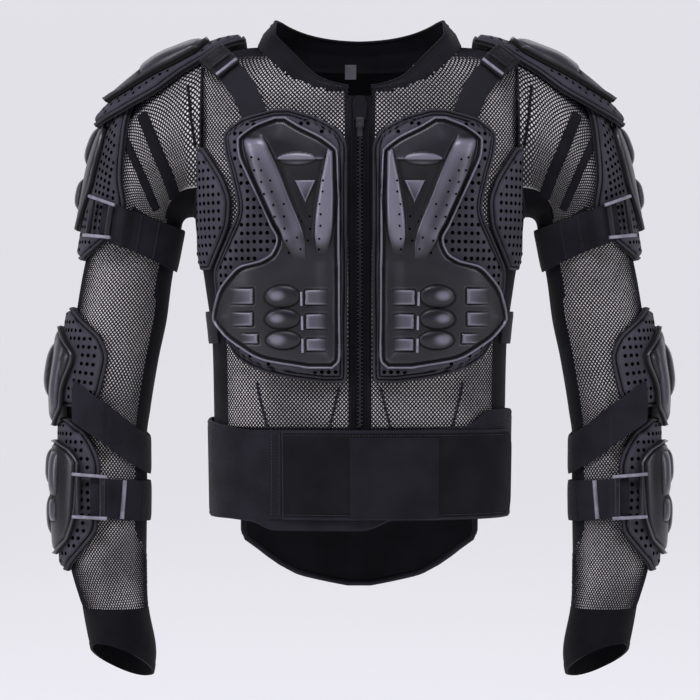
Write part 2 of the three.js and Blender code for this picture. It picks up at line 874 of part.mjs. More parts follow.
function ribPad() {
  const place = (v, u, out) => {
    const z = -RIB_PAD_TOP - v * RIB_PAD_HEIGHT;
    const leaf = RIB_PAD_WIDTH * read(RIB_PAD, 'leaf', v);
    const edge = Math.min(RIB_PAD_EDGE, bodySection(z).half * 0.965);
    return onBody(mix(turnAt(edge - leaf, z), turnAt(edge, z), u), z, out);
  };
  return pad(place, {
    rows: 7, columns: padColumns(2, 0.14), from: 0, to: 1, base: RIB_PAD_STAND, thick: FOAM, band: 0.14,
  });
}

function sideStrap() {
  const start = turnAt(CHEST_PAD_WIDTH * 0.97, -SIDE_STRAP_DROP);
  const end = turnAt(BACK_PAD_HALF * 0.94, -SIDE_STRAP_DROP, true);
  const place = (turn, u, out) => onBody(turn, -SIDE_STRAP_DROP + SIDE_STRAP_WIDTH * u, out);
  return sheet(place, steps(8, start, end), [-0.5, 0.5], () => STRAP_GAP - SEAM, () => STRAP_GAP + WEBBING);
}

function armGuardPlace(outline, start, end) {
  return (v, u, out) => {
    const angle = mix(read(outline, 'front', v), read(outline, 'back', v), u);
    return onArm(mix(start, end, v), angle, out);
  };
}

function armGuard(outline, start, end, base, thick, rows, across, edge) {
  const from = outline.stations[0];
  const to = outline.stations[outline.rows - 1];
  const place = armGuardPlace(outline, start, end);
  return pad(place, { rows, columns: padColumns(across), from, to, base, thick, edge, band: 0.08 });
}

// Raised fins along the outer edge of an arm plate.
function plateFins(geometry, start, end, fins) {
  return joined(geometry, fins.from.map((from, row) => {
    const angle = fins.angle[row];
    const half = fins.half[row];
    const share = (v) => (v - from) / (fins.to[row] - from);
    const place = (v, u, out) => onArm(mix(start, end, v), angle + half * u, out);
    const top = (v, u) => (
      OVER_PAD + PLATE + FIN_RISE * fins.rise[row] * roll(share(v), 0.35, 0.25) * (1 - 0.5 * u * u)
    );
    return sheet(place, steps(3, from, fins.to[row]), [-1, 0, 1], () => OVER_PAD + PLATE / 2, top);
  }));
}


// An elastic strap: over the guard's foam from its start, down to the sleeve, round the arm
// and up on the foam again at the back. slant moves it down from the outer to the inner edge.
function armStrap({ at, slant, width, from, front, back }) {
  const low = 360 + back;
  const angles = [
    ...steps(2, from, front),
    front + STRAP_RAMP_DEG,
    ...steps(6, front + 2 * STRAP_RAMP_DEG, low - 2 * STRAP_RAMP_DEG),
    low - STRAP_RAMP_DEG,
    low,
    low + STRAP_RAMP_DEG,
  ];
  return loft(angles.map((angle) => {
    const base = angle <= front || angle >= low ? OVER_PAD : STRAP_GAP;
    const middle = at - (slant / 2) * Math.cos(angle * RAD);
    const half = width / 2 / armScale(middle, angle);
    const edge = (side, out) => onArm(middle + side * half, angle, out);
    return [edge(-1, base), edge(1, base), edge(1, base + ELASTIC), edge(-1, base + ELASTIC)];
  }));
}

// A rectangular frame on the sleeve, with the slot that its strap comes through.
function strapLoop(at, angle, length, width, base) {
  const halfAt = length / 2 / armScale(at);
  const frame = armFrame(at);
  const perDegree = ((frame.across.length() + frame.depth) / 2) * RAD;
  const halfTurn = width / 2 / perDegree;
  const corners = [[-1, -1], [-1, 0], [-1, 1], [0, 1], [1, 1], [1, 0], [1, -1], [0, -1]];
  return loft(corners.map(([v, u]) => {
    const ring = (inset, out) => onArm(
      at + v * (halfAt - inset / armScale(at)),
      angle + u * (halfTurn - inset / perDegree),
      out,
    );
    return [
      ring(0, base),
      ring(0, base + LOOP_RISE),
      ring(LOOP_BAR, base + LOOP_RISE),
      ring(LOOP_BAR, base),
    ];
  }), true);
}

function shoulderPlace(outline) {
  return (v, u, out) => {
    const at = mix(SHOULDER_START, SHOULDER_END, v);
    const angle = mix(read(outline, 'front', v), read(outline, 'back', v), u);
    const lift = SHOULDER_FLARE * read(SHOULDER_PAD, 'lift', v);
    return onArm(at, angle, out + lift);
  };
}

function shoulderPad() {
  return pad(shoulderPlace(SHOULDER_PAD), {
    rows: 8, columns: padColumns(5), from: 0, to: 1, base: GAP, thick: FOAM, edge: 0.5, band: 0.08,
  });
}

function shoulderPlate() {
  const from = SHOULDER_PLATE.stations[0];
  const to = SHOULDER_PLATE.stations[SHOULDER_PLATE.rows - 1];
  return pad(shoulderPlace(SHOULDER_PLATE), {
    rows: 6, columns: padColumns(4), from, to, base: OVER_PAD, thick: CAP_THICK, edge: 0.4, band: 0.12,
  });
}

// Route of the shoulder strap, seated on the body: shares of the half width, front depth and drop.
const STRAP_ROUTE = table('share out forward down', [
  [0.0, 0.872, 0.371, 0.0],
  [0.3, 0.84, 0.46, 0.01],
  [0.55, 0.777, 0.62, 0.03],
  [0.8, 0.697, 0.774, 0.067],
  [1.0, 0.622, 0.839, 0.113],
]);

function strapPlace(share, u, out) {
  const spot = (t) => seatOnBody(new THREE.Vector3(
    CHEST_HALF * read(STRAP_ROUTE, 'out', t),
    -FRONT_DEPTH * read(STRAP_ROUTE, 'forward', t),
    -BODY_DROP * read(STRAP_ROUTE, 'down', t),
  ), 0);
  const at = spot(share);
  const ahead = spot(share + 0.03).sub(spot(share - 0.03)).normalize();
  const normal = bodySlope(at).normalize();
  const side = normal.cross(ahead).normalize();
  return seatOnBody(at.addScaledVector(side, (u * SHOULDER_STRAP_WIDTH) / 2), out);
}

function shoulderStrap() {
  return sheet(strapPlace, steps(7), [-1, 1], () => STRAP_GAP - SEAM, () => STRAP_GAP + WEBBING);
}

// The buckle's outline: shares of its half width and half length, from one corner round.
const BUCKLE = table('along side', [
  [-1.0, 1.0],
  [0.1, 1.0],
  [0.4, 0.8],
  [0.7, 1.0],
  [1.0, 1.0],
]);

function shoulderBuckle() {
  const corner = (side) => (along, row) => new THREE.Vector2(
    (side * BUCKLE.side[row] * BUCKLE_WIDTH) / 2,
    (along * BUCKLE_LENGTH) / 2,
  );
  const left = BUCKLE.along.map(corner(-1));
  const right = BUCKLE.along.map(corner(1));
  const body = new THREE.ExtrudeGeometry(new THREE.Shape([...right, ...left.reverse()]), {
    depth: BUCKLE_THICK - 2 * BEVEL,
    bevelEnabled: true,
    bevelSize: BEVEL,
    bevelThickness: BEVEL,
    bevelSegments: 1,
  });
  const base = STRAP_GAP + WEBBING + BUCKLE_LIFT;
  const at = strapPlace(BUCKLE_AT, 0, base);
  const reach = 0.12;
  const ahead = strapPlace(BUCKLE_AT + reach, 0, base).sub(strapPlace(BUCKLE_AT - reach, 0, base)).normalize();
  const side = strapPlace(BUCKLE_AT, 1, base).sub(strapPlace(BUCKLE_AT, -1, base)).normalize();
  const normal = ahead.clone().cross(side).normalize();
  if (normal.z < 0) {
    normal.negate();
  }
  side.crossVectors(ahead, normal);
  body.applyMatrix4(new THREE.Matrix4().makeBasis(side, ahead, normal).setPosition(at));
  return toGeometry(toSolid(body));
}

function cuff() {
  const angles = steps(SLEEVE_SIDES, 0, 360).slice(0, -1);
  const seamRow = angles.map((angle) => onArm(1, angle));
  const mouth = (angle, out) => {
    const point = onArm(1, angle, out);
    const inner = (1 - Math.cos(angle * RAD)) / 2;
    const back = (1 - Math.sin(angle * RAD)) / 2;
    point.z = -ARM_DROP - SEAM - CUFF_LENGTH - CUFF_SLANT * (0.85 * inner + 0.28 * back);
    point.x -= 10 - 4 * inner;
    point.y -= 8;
    return point;
  };
  return loft(seamRow.map((_, index) => {
    const angle = angles[index];
    const outer = [onArm(1, angle, 0.4), mouth(angle, 0.8)];
    const inner = [onArm(1, angle, 0.4 - CUFF_WALL), mouth(angle, 0.8 - CUFF_WALL)];
    outer[0].z = -ARM_DROP - SEAM;
    inner[0].z = -ARM_DROP - SEAM;
    return [...outer, ...inner.reverse()];
  }), true);
}

// How far the belt stands off the body: over the back pad it goes round that pad.
function beltBase(turn, z) {
  const edge = turnAt(BACK_PAD_HALF * 1.02, z, true);
  const over = Math.min(Math.max((Math.abs(turn) - edge + 14) / 12, 0), 1);
  return GAP + (BACK_PAD_WALL + SEAM * 4) * over * over * (3 - 2 * over);
}

function waistBelt() {
  return loft(BODY_TURNS.map((full) => {
    const turn = full > 180 ? full - 360 : full;
    const top = -BELT_TOP - BELT_WIDTH * read(BELT, 'top', turn);
    const bottom = -BELT_TOP - BELT_WIDTH * read(BELT, 'bottom', turn);
    const low = (z) => beltBase(turn, z);
    return [
      onBody(turn, top, low(top)),
      onBody(turn, top, low(top) + BELT_WALL),
      onBody(turn, bottom, low(bottom) + BELT_WALL),
      onBody(turn, bottom, low(bottom)),
    ];
  }), true);
}

const FLAP_BASE = GAP + BELT_WALL + SEAM * 2;
const FLAP_TOP = BELT_TOP + FLAP_INSET;

function beltFlap() {
  const middle = -FLAP_TOP - FLAP_HEIGHT / 2;
  const start = turnAt(-FLAP_RIGHT, middle);
  const end = turnAt(FLAP_LEFT, middle);
  const curve = FLAP_CORNER / CHEST_HALF / RAD;
  const place = (turn, u, out) => {
    const left = 1 - Math.min((end - turn) / curve, 1);
    const round = FLAP_CORNER * (1 - Math.sqrt(Math.max(1 - left * left, 0)));
    return onBody(turn, mix(-FLAP_TOP - round, -FLAP_TOP - FLAP_HEIGHT + round, u), out);
  };
  const turns = [...steps(8, start, end - curve), ...steps(3, end - curve, end).slice(1)];
  return sheet(place, turns, [0, 1], () => FLAP_BASE, () => FLAP_BASE + FLAP_WALL);
}

function beltPlate(right, left, top, height, base, thick) {
  const place = (turn, u, out) => onBody(turn, -top - height * u, out);
  const middle = -top - height / 2;
  const turns = steps(6, turnAt(right, middle), turnAt(left, middle));
  return sheet(place, turns, [0, 1], () => base, () => base + thick);
}

function backPad() {
  const height = TONGUE_DROP - BACK_PAD_TOP;
  const place = (v, u, out) => {
    const z = -BACK_PAD_TOP - v * height;
    const half = BACK_PAD_HALF * read(BACK_PAD, 'half', v);
    const turn = 180 - turnAt(half, z, true);
    return onBody(180 + turn * (2 * u - 1), z, out);
  };
  return pad(place, {
    rows: 11, columns: padColumns(5, 0.04), from: 0, to: 1, base: GAP, thick: BACK_PAD_WALL, edge: 0.5, band: 0.05,
  });
}

function zipGarage(top) {
  const shape = new THREE.Shape();
  const half = GARAGE_WIDTH / 2;
  shape.moveTo(-half * 0.8, -GARAGE_HEIGHT);
  shape.lineTo(half * 0.8, -GARAGE_HEIGHT);
  shape.lineTo(half, -GARAGE_HEIGHT * 0.35);
  shape.lineTo(half * 0.45, 0);
  shape.lineTo(-half * 0.45, 0);
  shape.lineTo(-half, -GARAGE_HEIGHT * 0.35);
  shape.closePath();
  const flap = new THREE.ExtrudeGeometry(shape, { depth: GARAGE_WALL, bevelEnabled: false });
  flap.rotateX(Math.PI / 2);
  const out = ZIP_TEETH_RISE + SEAM * 3;
  const high = onBody(0, -top, out);
  const low = onBody(0, -top - GARAGE_HEIGHT, out);
  flap.rotateX(-Math.atan2(low.y - high.y, low.z - high.z) - Math.PI);
  flap.translate(high.x, high.y, high.z);
  return toGeometry(toSolid(flap));
}

function neckTab() {
  const top = skinHeight(TAB_OFF_CENTRE, NECK_BACK) - COLLAR_TUCK - SEAM * 2;
  const place = (v, u, out) => {
    const z = top - TAB_HEIGHT * v;
    const turn = turnAt(-TAB_OFF_CENTRE + (TAB_WIDTH / 2) * u, z, true);
    return onBody(turn < 0 ? turn + 360 : turn, z, out);
  };
  const inside = -NET_WALL - STRAP_GAP + SEAM;
  return sheet(place, steps(3), [-1, 1], () => inside - TAB_WALL, () => inside);
}

addPiece('body_net', bodyNet(), NET_BLACK, 0.9);
addPair('sleeve_net', sleeveNet(), NET_BLACK, 0.9);
addPiece('collar', collar(), FABRIC_BLACK, 0.85);
const ZIP_TOP = -onBody(0, -NECK_FRONT * 0.45).z;
addPiece('zip_placket', frontStrip(
  FRONT_SLOT / 2 - SEAM, ZIP_TOP, BODY_DROP - NET_WALL, -NET_WALL, 0, 10,
), FABRIC_BLACK, 0.8);
addPiece('zip_teeth', frontStrip(
  ZIP_TEETH_WIDTH / 2, ZIP_TOP + GARAGE_WALL, FLAP_TOP - GAP, SEAM, SEAM + ZIP_TEETH_RISE, 10,
), PLASTIC, 0.5);
addPiece('zip_garage', zipGarage(ZIP_TOP), FABRIC_BLACK, 0.7);
addPiece('neck_tab', neckTab(), 0x77777a, 0.8);
addPair('chest_pad', pad(chestPadPlace, {
  rows: 12, columns: padColumns(4), from: 0, to: 1, base: GAP, thick: FOAM, edge: 0.4, band: 0.05,
}), FOAM_GREY, 0.75);
addPair('chest_plate', chestPlate(), PLASTIC, 0.4);
addPair('rib_pad', ribPad(), FOAM_GREY, 0.75);
addPair('side_strap', sideStrap(), WEB_BLACK, 0.8);
addPair('shoulder_pad', shoulderPad(), FOAM_GREY, 0.75);
addPair('shoulder_plate', shoulderPlate(), PLASTIC, 0.4);
addPair('shoulder_strap', shoulderStrap(), WEB_BLACK, 0.8);
addPair('shoulder_buckle', shoulderBuckle(), PLASTIC, 0.4);

addPair('arm_pad', armGuard(
  ARM_PAD, ARM_GUARD_START, ARM_GUARD_END, GAP, FOAM, 7, 5, 0.4,
), FOAM_GREY, 0.75);
addPair('arm_plate', plateFins(
  armGuard(ARM_PLATE, ARM_GUARD_START, ARM_GUARD_END, OVER_PAD, PLATE, 6, 4, 0.6),
  ARM_GUARD_START,
  ARM_GUARD_END,
  ARM_FINS,
), PLASTIC, 0.4);
addPair('elbow_pad', armGuard(
  ELBOW_PAD, ELBOW_GUARD_START, ELBOW_GUARD_END, GAP, FOAM, 6, 6, 0.4,
), FOAM_GREY, 0.75);
addPair('elbow_plate', plateFins(
  armGuard(ELBOW_PLATE, ELBOW_GUARD_START, ELBOW_GUARD_END, OVER_PAD + SEAM, CAP_THICK, 6, 5, 0.5),
  ELBOW_GUARD_START,
  ELBOW_GUARD_END,
  ELBOW_FINS,
), PLASTIC, 0.4);
addPair('forearm_pad', armGuard(
  FOREARM_PAD, FOREARM_GUARD_START, FOREARM_GUARD_END, GAP, FOAM, 7, 6, 0.4,
), FOAM_GREY, 0.75);
addPair('forearm_plate', plateFins(
  armGuard(FOREARM_PLATE, FOREARM_GUARD_START, FOREARM_GUARD_END, OVER_PAD, PLATE, 6, 5, 0.6),
  FOREARM_GUARD_START,
  FOREARM_GUARD_END,
  FOREARM_FINS,
), PLASTIC, 0.4);

addPair('arm_strap', armStrap({
  at: ARM_STRAP_AT,
  slant: ARM_STRAP_SLANT,
  width: ARM_STRAP_WIDTH,
  from: ARM_LOOP_ANGLE,
  front: Math.max(...ARM_PAD.front) + 2,
  back: Math.min(...ARM_PAD.back) - 2,
}), WEB_BLACK, 0.85);
addPair('elbow_strap', armStrap({
  at: ELBOW_STRAP_AT,
  slant: ELBOW_STRAP_SLANT,
  width: ELBOW_STRAP_WIDTH,
  from: ELBOW_STRAP_ANGLE,
  front: Math.max(...ELBOW_PAD.front) + 3,
  back: Math.min(...ELBOW_PAD.back) - 3,
}), WEB_BLACK, 0.85);
addPair('forearm_strap', armStrap({
  at: FOREARM_STRAP_AT,
  slant: 0,
  width: FOREARM_STRAP_WIDTH,
  from: FOREARM_LOOP_ANGLE,
  front: Math.max(...FOREARM_PAD.front) + 3,
  back: Math.min(...FOREARM_PAD.back) - 3,
}), WEB_BLACK, 0.85);
addPair('arm_loop', strapLoop(
  ARM_LOOP_AT, ARM_LOOP_ANGLE, ARM_STRAP_WIDTH + LOOP_SPARE, LOOP_WIDTH, OVER_STRAP,
), PLASTIC, 0.4);
addPair('forearm_loop', strapLoop(
  FOREARM_STRAP_AT, FOREARM_LOOP_ANGLE, FOREARM_STRAP_WIDTH + LOOP_SPARE, LOOP_WIDTH, OVER_STRAP,
), PLASTIC, 0.4);
addPiece('waist_belt', waistBelt(), WEB_BLACK, 0.85);
addPiece('belt_flap', beltFlap(), FABRIC_BLACK, 0.85);
addPiece('belt_strip', beltPlate(
  -FLAP_RIGHT - STRIP_WIDTH - SEAM, -FLAP_RIGHT - SEAM, FLAP_TOP, FLAP_HEIGHT, FLAP_BASE, WEBBING,
), WEB_BLACK, 0.85);
addPiece('belt_patch', beltPlate(
  -PATCH_RIGHT, PATCH_LEFT, FLAP_TOP + PATCH_INSET, PATCH_HEIGHT, FLAP_BASE + FLAP_WALL + SEAM, PATCH_WALL,
), FABRIC_BLACK, 0.7);
addPiece('back_pad', backPad(), FOAM_GREY, 0.75);
addPair('cuff', cuff(), FABRIC_BLACK, 0.85);

export default jacket;
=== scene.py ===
import math

import bmesh
import bpy
import numpy as np
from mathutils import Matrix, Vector


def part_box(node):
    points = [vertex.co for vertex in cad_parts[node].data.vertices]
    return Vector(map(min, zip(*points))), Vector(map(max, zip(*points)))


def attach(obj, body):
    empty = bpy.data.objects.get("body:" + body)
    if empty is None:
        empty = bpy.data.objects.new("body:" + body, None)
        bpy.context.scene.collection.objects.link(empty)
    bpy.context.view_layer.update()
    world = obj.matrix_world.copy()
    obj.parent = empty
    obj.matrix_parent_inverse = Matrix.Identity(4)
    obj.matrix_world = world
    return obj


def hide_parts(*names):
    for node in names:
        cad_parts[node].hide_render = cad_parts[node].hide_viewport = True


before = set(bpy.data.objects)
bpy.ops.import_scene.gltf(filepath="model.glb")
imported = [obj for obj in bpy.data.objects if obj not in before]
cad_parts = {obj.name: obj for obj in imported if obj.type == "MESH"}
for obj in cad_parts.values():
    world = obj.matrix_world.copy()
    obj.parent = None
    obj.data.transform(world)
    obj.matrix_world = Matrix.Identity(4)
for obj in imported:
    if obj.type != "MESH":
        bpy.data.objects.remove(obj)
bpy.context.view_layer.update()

# Named sizes are millimetres and shares, as in the part: +Z up, the chest faces -Y, wearer's left is +X.
MM = 0.001
CHEST_HALF, FRONT_DEPTH, BACK_DEPTH, BODY_DROP = 188.0, 124.0, 118.0, 505.0
NET_WALL = 1.6
NECK_HALF, NECK_FRONT, NECK_BACK, NECK_SQUARE = 116.0, 108.0, 76.0, 2.8
COLLAR_HEIGHT, COLLAR_WALL, COLLAR_TUCK, COLLAR_SPLIT = 30.0, 3.0, 5.0, 7.0
ARM_SPREAD, ARM_DROP, SLEEVE_DEPTH = 142.0, 612.0, 140.0
CUFF_LENGTH, CUFF_SLANT, CUFF_WALL = 42.0, 36.0, 2.4
GAP, STRAP_GAP, STACK, SEAM = 3.0, 2.4, 2.2, 0.4
FOAM, PLATE, WEBBING, ELASTIC = 9.0, 3.2, 1.6, 2.0
OVER_PAD = GAP + FOAM + STACK
OVER_CHEST = OVER_PAD + SEAM * 2
OVER_STRAP = OVER_CHEST + ELASTIC
PAD_TOP, PAD_HEIGHT, PAD_WIDTH = 65.0, 296.0, 160.0
PLATE_HEIGHT, PLATE_WIDTH = 269.0, 148.0
PLATE_TOP = PAD_TOP + PAD_HEIGHT * 0.037
RIB_TOP, RIB_HEIGHT, RIB_GAP, RIB_WIDTH, RIB_STAND = 102.0, 134.0, 8.0, 36.0, 1.2
ARM_GUARD, ELBOW_GUARD, FOREARM_GUARD = (0.1, 0.378), (0.468, 0.645), (0.668, 0.935)
SHOULDER_REACH, SHOULDER_FLARE = (-0.13, 0.165), 17.0
FIN_RISE = 8.0
BELT_TOP, BELT_WIDTH, BELT_WALL = 398.0, 113.0, 4.0
FLAP_LEFT, FLAP_RIGHT, FLAP_HEIGHT, FLAP_CORNER, FLAP_WALL = 158.0, 82.0, 97.0, 24.0, 5.0
FLAP_TOP, FLAP_BASE = BELT_TOP + 15.0, GAP + BELT_WALL + SEAM * 2
STRIP_WIDTH, PATCH_LEFT, PATCH_RIGHT, PATCH_HEIGHT, PATCH_INSET = 14.0, 82.0, 11.0, 88.0, 8.0
BACK_TOP, BACK_WALL, BACK_HALF, TONGUE_DROP = 40.0, 10.0, 132.0, 598.0
PERFORATION_ROWS, PERFORATION_COLUMNS, PERFORATION_WIDTH = 8.9, 7.5, 4.5
PLATE_HOLE_WIDTH, HOLE_LIFT, HOLE_EDGE, PLATE_CLEARANCE = 2.5, 0.12, 0.02, 2.0
SLEEVE_START, BODY_START = -0.03, BODY_DROP * 0.027
NET_DIAGONAL, NET_HOLE, NET_RIDGE, NET_SINK = 4.75, 0.47, 0.3, 0.8
GROUND_OUT = 0.12 - NET_SINK
PANEL_TOP, PANEL_FADE, PANEL_HALF = 118, 90, 30
GIRTH, SLEEVE_GIRTH, SLEEVE_LENGTH, SLEEVE_CUT = 1000, 365, 640, 650
SHOULDER_WEB, BUCKLE_AT = 28.0, 0.42
SIDE_DROP, SIDE_WIDTH = 300.0, 36.0
DOME_WIDTH, DOME_RISE, RAIL_RISE = 37.0, 4.0, 4.6
ZIP_HALF, TAB_RAISE = 12.6, 14.0
LOOP_BAR, LOOP_LENGTH = 4.6, 25.0
EDGE_BAND = 4.0
STITCH, STITCH_PITCH = (2.5, 0.8, 0.6), 3.4

# The filled share of a pad, and the angles in degrees past which an edge of cloth or plastic is sharp.
PAD_FILL, SOFT_ANGLE, HARD_ANGLE = 0.8, 38.0, 60.0

# The camera stands level in front of the middle; one picture point is this many millimetres at y = 0.
CAMERA_DISTANCE, CAMERA_HEIGHT, POINT, MIDDLE_POINT = 3000.0, -325.4, 1.13, 359.5
IMAGE_SIDE, SENSOR = 700, 36.0

RAD = math.pi / 180


class Table:
    """Rows under named columns, read at any station on a smooth curve that never overshoots."""

    def __init__(self, names, rows):
        self.names = names.split()
        self.columns = np.array(rows, float).T

    def __getitem__(self, name):
        return self.columns[self.names.index(name)]

    def __call__(self, name, station):
        xs, ys = self.columns[0], self[name]
        t = np.clip(np.asarray(station, float), xs[0], xs[-1])
        i = np.minimum(np.searchsorted(xs[1:], t, side="left"), len(xs) - 2)
        slopes = np.diff(ys) / np.diff(xs)
        product, total = slopes[:-1] * slopes[1:], slopes[:-1] + slopes[1:]
        inner = np.where(product > 0, 2 * product / np.where(product > 0, total, 1), 0)
        tangents = np.concatenate([slopes[:1], inner, slopes[-1:]])
        width = (xs[1:] - xs[:-1])[i]
        u = (t - xs[i]) / width
        bend = width * u * (1 - u) * ((1 - u) * tangents[i] - u * tangents[i + 1])
        return ys[i] + (ys[i + 1] - ys[i]) * u * u * (3 - 2 * u) + bend


BODY = Table("down half front back square", [
    [-0.046, 0.05, 0.06, 0.06, 2.0], [-0.04, 0.4, 0.22, 0.26, 2.1], [-0.028, 0.7, 0.35, 0.42, 2.3],
    [-0.012, 0.885, 0.5, 0.55, 2.5], [0.01, 0.985, 0.64, 0.68, 2.7], [0.05, 1.0, 0.79, 0.82, 2.8],
    [0.12, 1.0, 0.92, 0.94, 2.8], [0.24, 1.0, 1.0, 1.0, 2.7], [0.366, 0.985, 1.02, 1.0, 2.6],
    [0.495, 0.93, 0.985, 0.955, 2.5], [0.634, 0.885, 0.94, 0.915, 2.4], [0.8, 0.875, 0.9, 0.9, 2.4],
    [1.0, 0.865, 0.9, 0.9, 2.4],
])
ARM = Table("at inner_out inner_down outer_out outer_down depth forward", [
    [-0.15, -0.5, 0.2, -0.5, -0.034, 1.36, 0], [-0.09, -0.28, 0.24, -0.28, -0.027, 1.3, 0],
    [-0.02, -0.05, 0.288, -0.05, -0.008, 1.04, 0], [0.0, 0.014, 0.288, 0.07, 0.005, 1.0, 0],
    [0.04, 0.042, 0.289, 0.24, 0.028, 1.0, 0], [0.09, 0.063, 0.292, 0.437, 0.069, 0.98, 0],
    [0.15, 0.077, 0.296, 0.592, 0.121, 0.95, 0.01], [0.21, 0.085, 0.301, 0.704, 0.183, 0.9, 0.02],
    [0.28, 0.092, 0.31, 0.775, 0.261, 0.85, 0.03], [0.35, 0.12, 0.343, 0.831, 0.34, 0.8, 0.03],
    [0.42, 0.169, 0.408, 0.888, 0.408, 0.77, 0.02], [0.48, 0.204, 0.474, 0.926, 0.466, 0.745, 0.0],
    [0.55, 0.268, 0.547, 0.965, 0.539, 0.72, -0.02], [0.62, 0.331, 0.637, 1.0, 0.608, 0.7, -0.03],
    [0.7, 0.359, 0.694, 0.986, 0.686, 0.66, -0.06], [0.8, 0.352, 0.801, 0.993, 0.784, 0.62, -0.12],
    [0.92, 0.352, 0.915, 0.958, 0.915, 0.57, -0.2], [0.985, 0.345, 0.98, 0.873, 0.987, 0.52, -0.23],
    [1.0, 0.338, 1.0, 0.852, 1.0, 0.51, -0.24], [1.06, 0.325, 1.06, 0.82, 1.06, 0.5, -0.26],
])
CHEST_PAD = Table("down near far", [
    [0.0, 0.47, 0.58], [0.034, 0.28, 0.8], [0.095, 0.115, 0.91], [0.147, 0.084, 0.9],
    [0.257, 0.084, 0.85], [0.36, 0.084, 0.816], [0.458, 0.084, 0.879], [0.53, 0.084, 0.935],
    [0.586, 0.084, 0.966], [0.686, 0.084, 0.95], [0.787, 0.084, 0.909], [0.887, 0.084, 0.844],
    [0.943, 0.084, 0.72], [0.982, 0.086, 0.48], [1.0, 0.11, 0.24],
])
CHEST_PLATE = Table("down near far", [
    [0.0, 0.53, 0.6], [0.032, 0.44, 0.746], [0.088, 0.25, 0.855], [0.137, 0.157, 0.848],
    [0.225, 0.149, 0.79], [0.326, 0.142, 0.709], [0.426, 0.142, 0.63], [0.478, 0.142, 0.586],
    [0.526, 0.141, 0.615], [0.552, 0.14, 0.68], [0.574, 0.139, 0.82], [0.6, 0.138, 0.875],
    [0.69, 0.136, 0.972], [0.783, 0.135, 1.0], [0.86, 0.134, 0.928], [0.935, 0.134, 0.775],
    [0.968, 0.14, 0.665], [1.0, 0.19, 0.36],
])
RIB_PAD = Table("down leaf", [
    [0.0, 0.16], [0.15, 0.52], [0.31, 0.84], [0.47, 1.0], [0.62, 0.96], [0.81, 0.72], [1.0, 0.3],
])
BACK_PAD = Table("down half", [
    [0.0, 0.42], [0.03, 0.62], [0.1, 0.86], [0.22, 0.9], [0.36, 0.86], [0.5, 0.82], [0.64, 0.84],
    [0.78, 0.94], [0.85, 1.0], [0.89, 1.0], [0.925, 0.85], [0.955, 0.69], [0.976, 0.53],
    [0.992, 0.27], [1.0, 0.1],
])
ARM_PAD = Table("down front back", [
    [0.0, 30, -46], [0.2, 55, -66], [0.4, 68, -80], [0.64, 79, -86], [0.8, 69, -78],
    [0.9, 55, -62], [1.0, 26, -34],
])
ARM_PLATE = Table("down front back", [
    [0.19, 20, -36], [0.26, 30, -50], [0.38, 36, -56], [0.52, 35, -55], [0.68, 25, -46], [0.82, 11, -28],
])
ELBOW_PAD = Table("down front back", [
    [0.0, 20, -34], [0.12, 46, -60], [0.3, 76, -84], [0.5, 87, -92], [0.8, 84, -90], [1.0, 62, -70],
])
ELBOW_PLATE = Table("down front back", [
    [0.2, 13, -30], [0.32, 32, -52], [0.5, 51, -66], [0.8, 42, -60], [1.0, 39, -54], [1.22, 18, -34],
])
FOREARM_PAD = Table("down front back", [
    [0.0, 36, -48], [0.1, 68, -74], [0.34, 86, -90], [0.72, 82, -86], [0.87, 60, -66], [1.0, 24, -32],
])
FOREARM_PLATE = Table("down front back", [
    [0.16, 28, -34], [0.22, 52, -54], [0.32, 64, -66], [0.6, 61, -62], [0.8, 48, -52], [0.9, 18, -26],
])
SHOULDER_PAD = Table("down front back lift", [
    [0.0, 20, -30, 0], [0.12, 25, -40, 0], [0.4, 36, -50, 0], [0.6, 44, -50, 0.15],
    [0.8, 38, -44, 0.55], [0.94, 27, -32, 0.92], [1.0, 16, -20, 1.05],
])
SHOULDER_PLATE = Table("down front back", [
    [0.26, 14, -26], [0.34, 27, -38], [0.52, 31, -43], [0.72, 28, -38], [0.86, 16, -24],
])
COLLAR = Table("turn out forward rise", [
    [0, 0.0, 0.93, 0.1], [25, 0.39, 0.84, 0.12], [45, 0.64, 0.66, 0.45], [65, 0.83, 0.4, 0.8],
    [85, 0.83, 0.06, 0.95], [105, 0.76, -0.2, 1.0], [130, 0.59, -0.46, 1.0],
    [155, 0.32, -0.58, 0.99], [180, 0.0, -0.61, 0.98],
])
BELT = Table("turn top bottom", [
    [-180, 0.0, 1.0], [-100, 0.03, 1.0], [-60, 0.09, 1.0], [-42, 0.13, 1.02], [-30, 0.13, 1.1],
    [0, 0.13, 1.1], [10, 0.13, 1.0], [40, 0.1, 1.0], [55, -0.06, 1.0], [100, -0.06, 1.0], [180, 0.0, 1.0],
])
STRAP_ROUTE = Table("share out forward down", [
    [0.0, 0.872, 0.371, 0.0], [0.3, 0.84, 0.46, 0.01], [0.55, 0.777, 0.62, 0.03],
    [0.8, 0.697, 0.774, 0.067], [1.0, 0.604, 0.858, 0.14],
])
# Shares of the full height that a bound pad edge keeps at each distance in from its rim.
PIPED_EDGE = Table("inset rise", [
    [0, 0.34], [1.0, 0.62], [2.0, 0.7], [3.2, 0.6], [4.0, 0.4], [5.0, 0.62], [6.0, 0.74],
    [7.0, 0.66], [7.8, 0.48], [9.0, 0.82], [12, 0.97], [18, 1.0],
])
NARROW_EDGE = Table("inset rise", [
    [0, 0.36], [1, 0.6], [2.2, 0.7], [3.4, 0.58], [4.2, 0.5], [5.4, 0.74], [8, 0.94], [12, 1.0],
])
PLATE_EDGE = Table("inset rise", [
    [0, 0.5], [0.6, 1.2], [1.3, 1.62], [2.2, 1.62], [3.0, 1.1], [3.8, 0.4], [4.8, 0.35], [6.0, 0.75],
    [8, 1.0],
])


def mix(a, b, t):
    return a + (b - a) * t


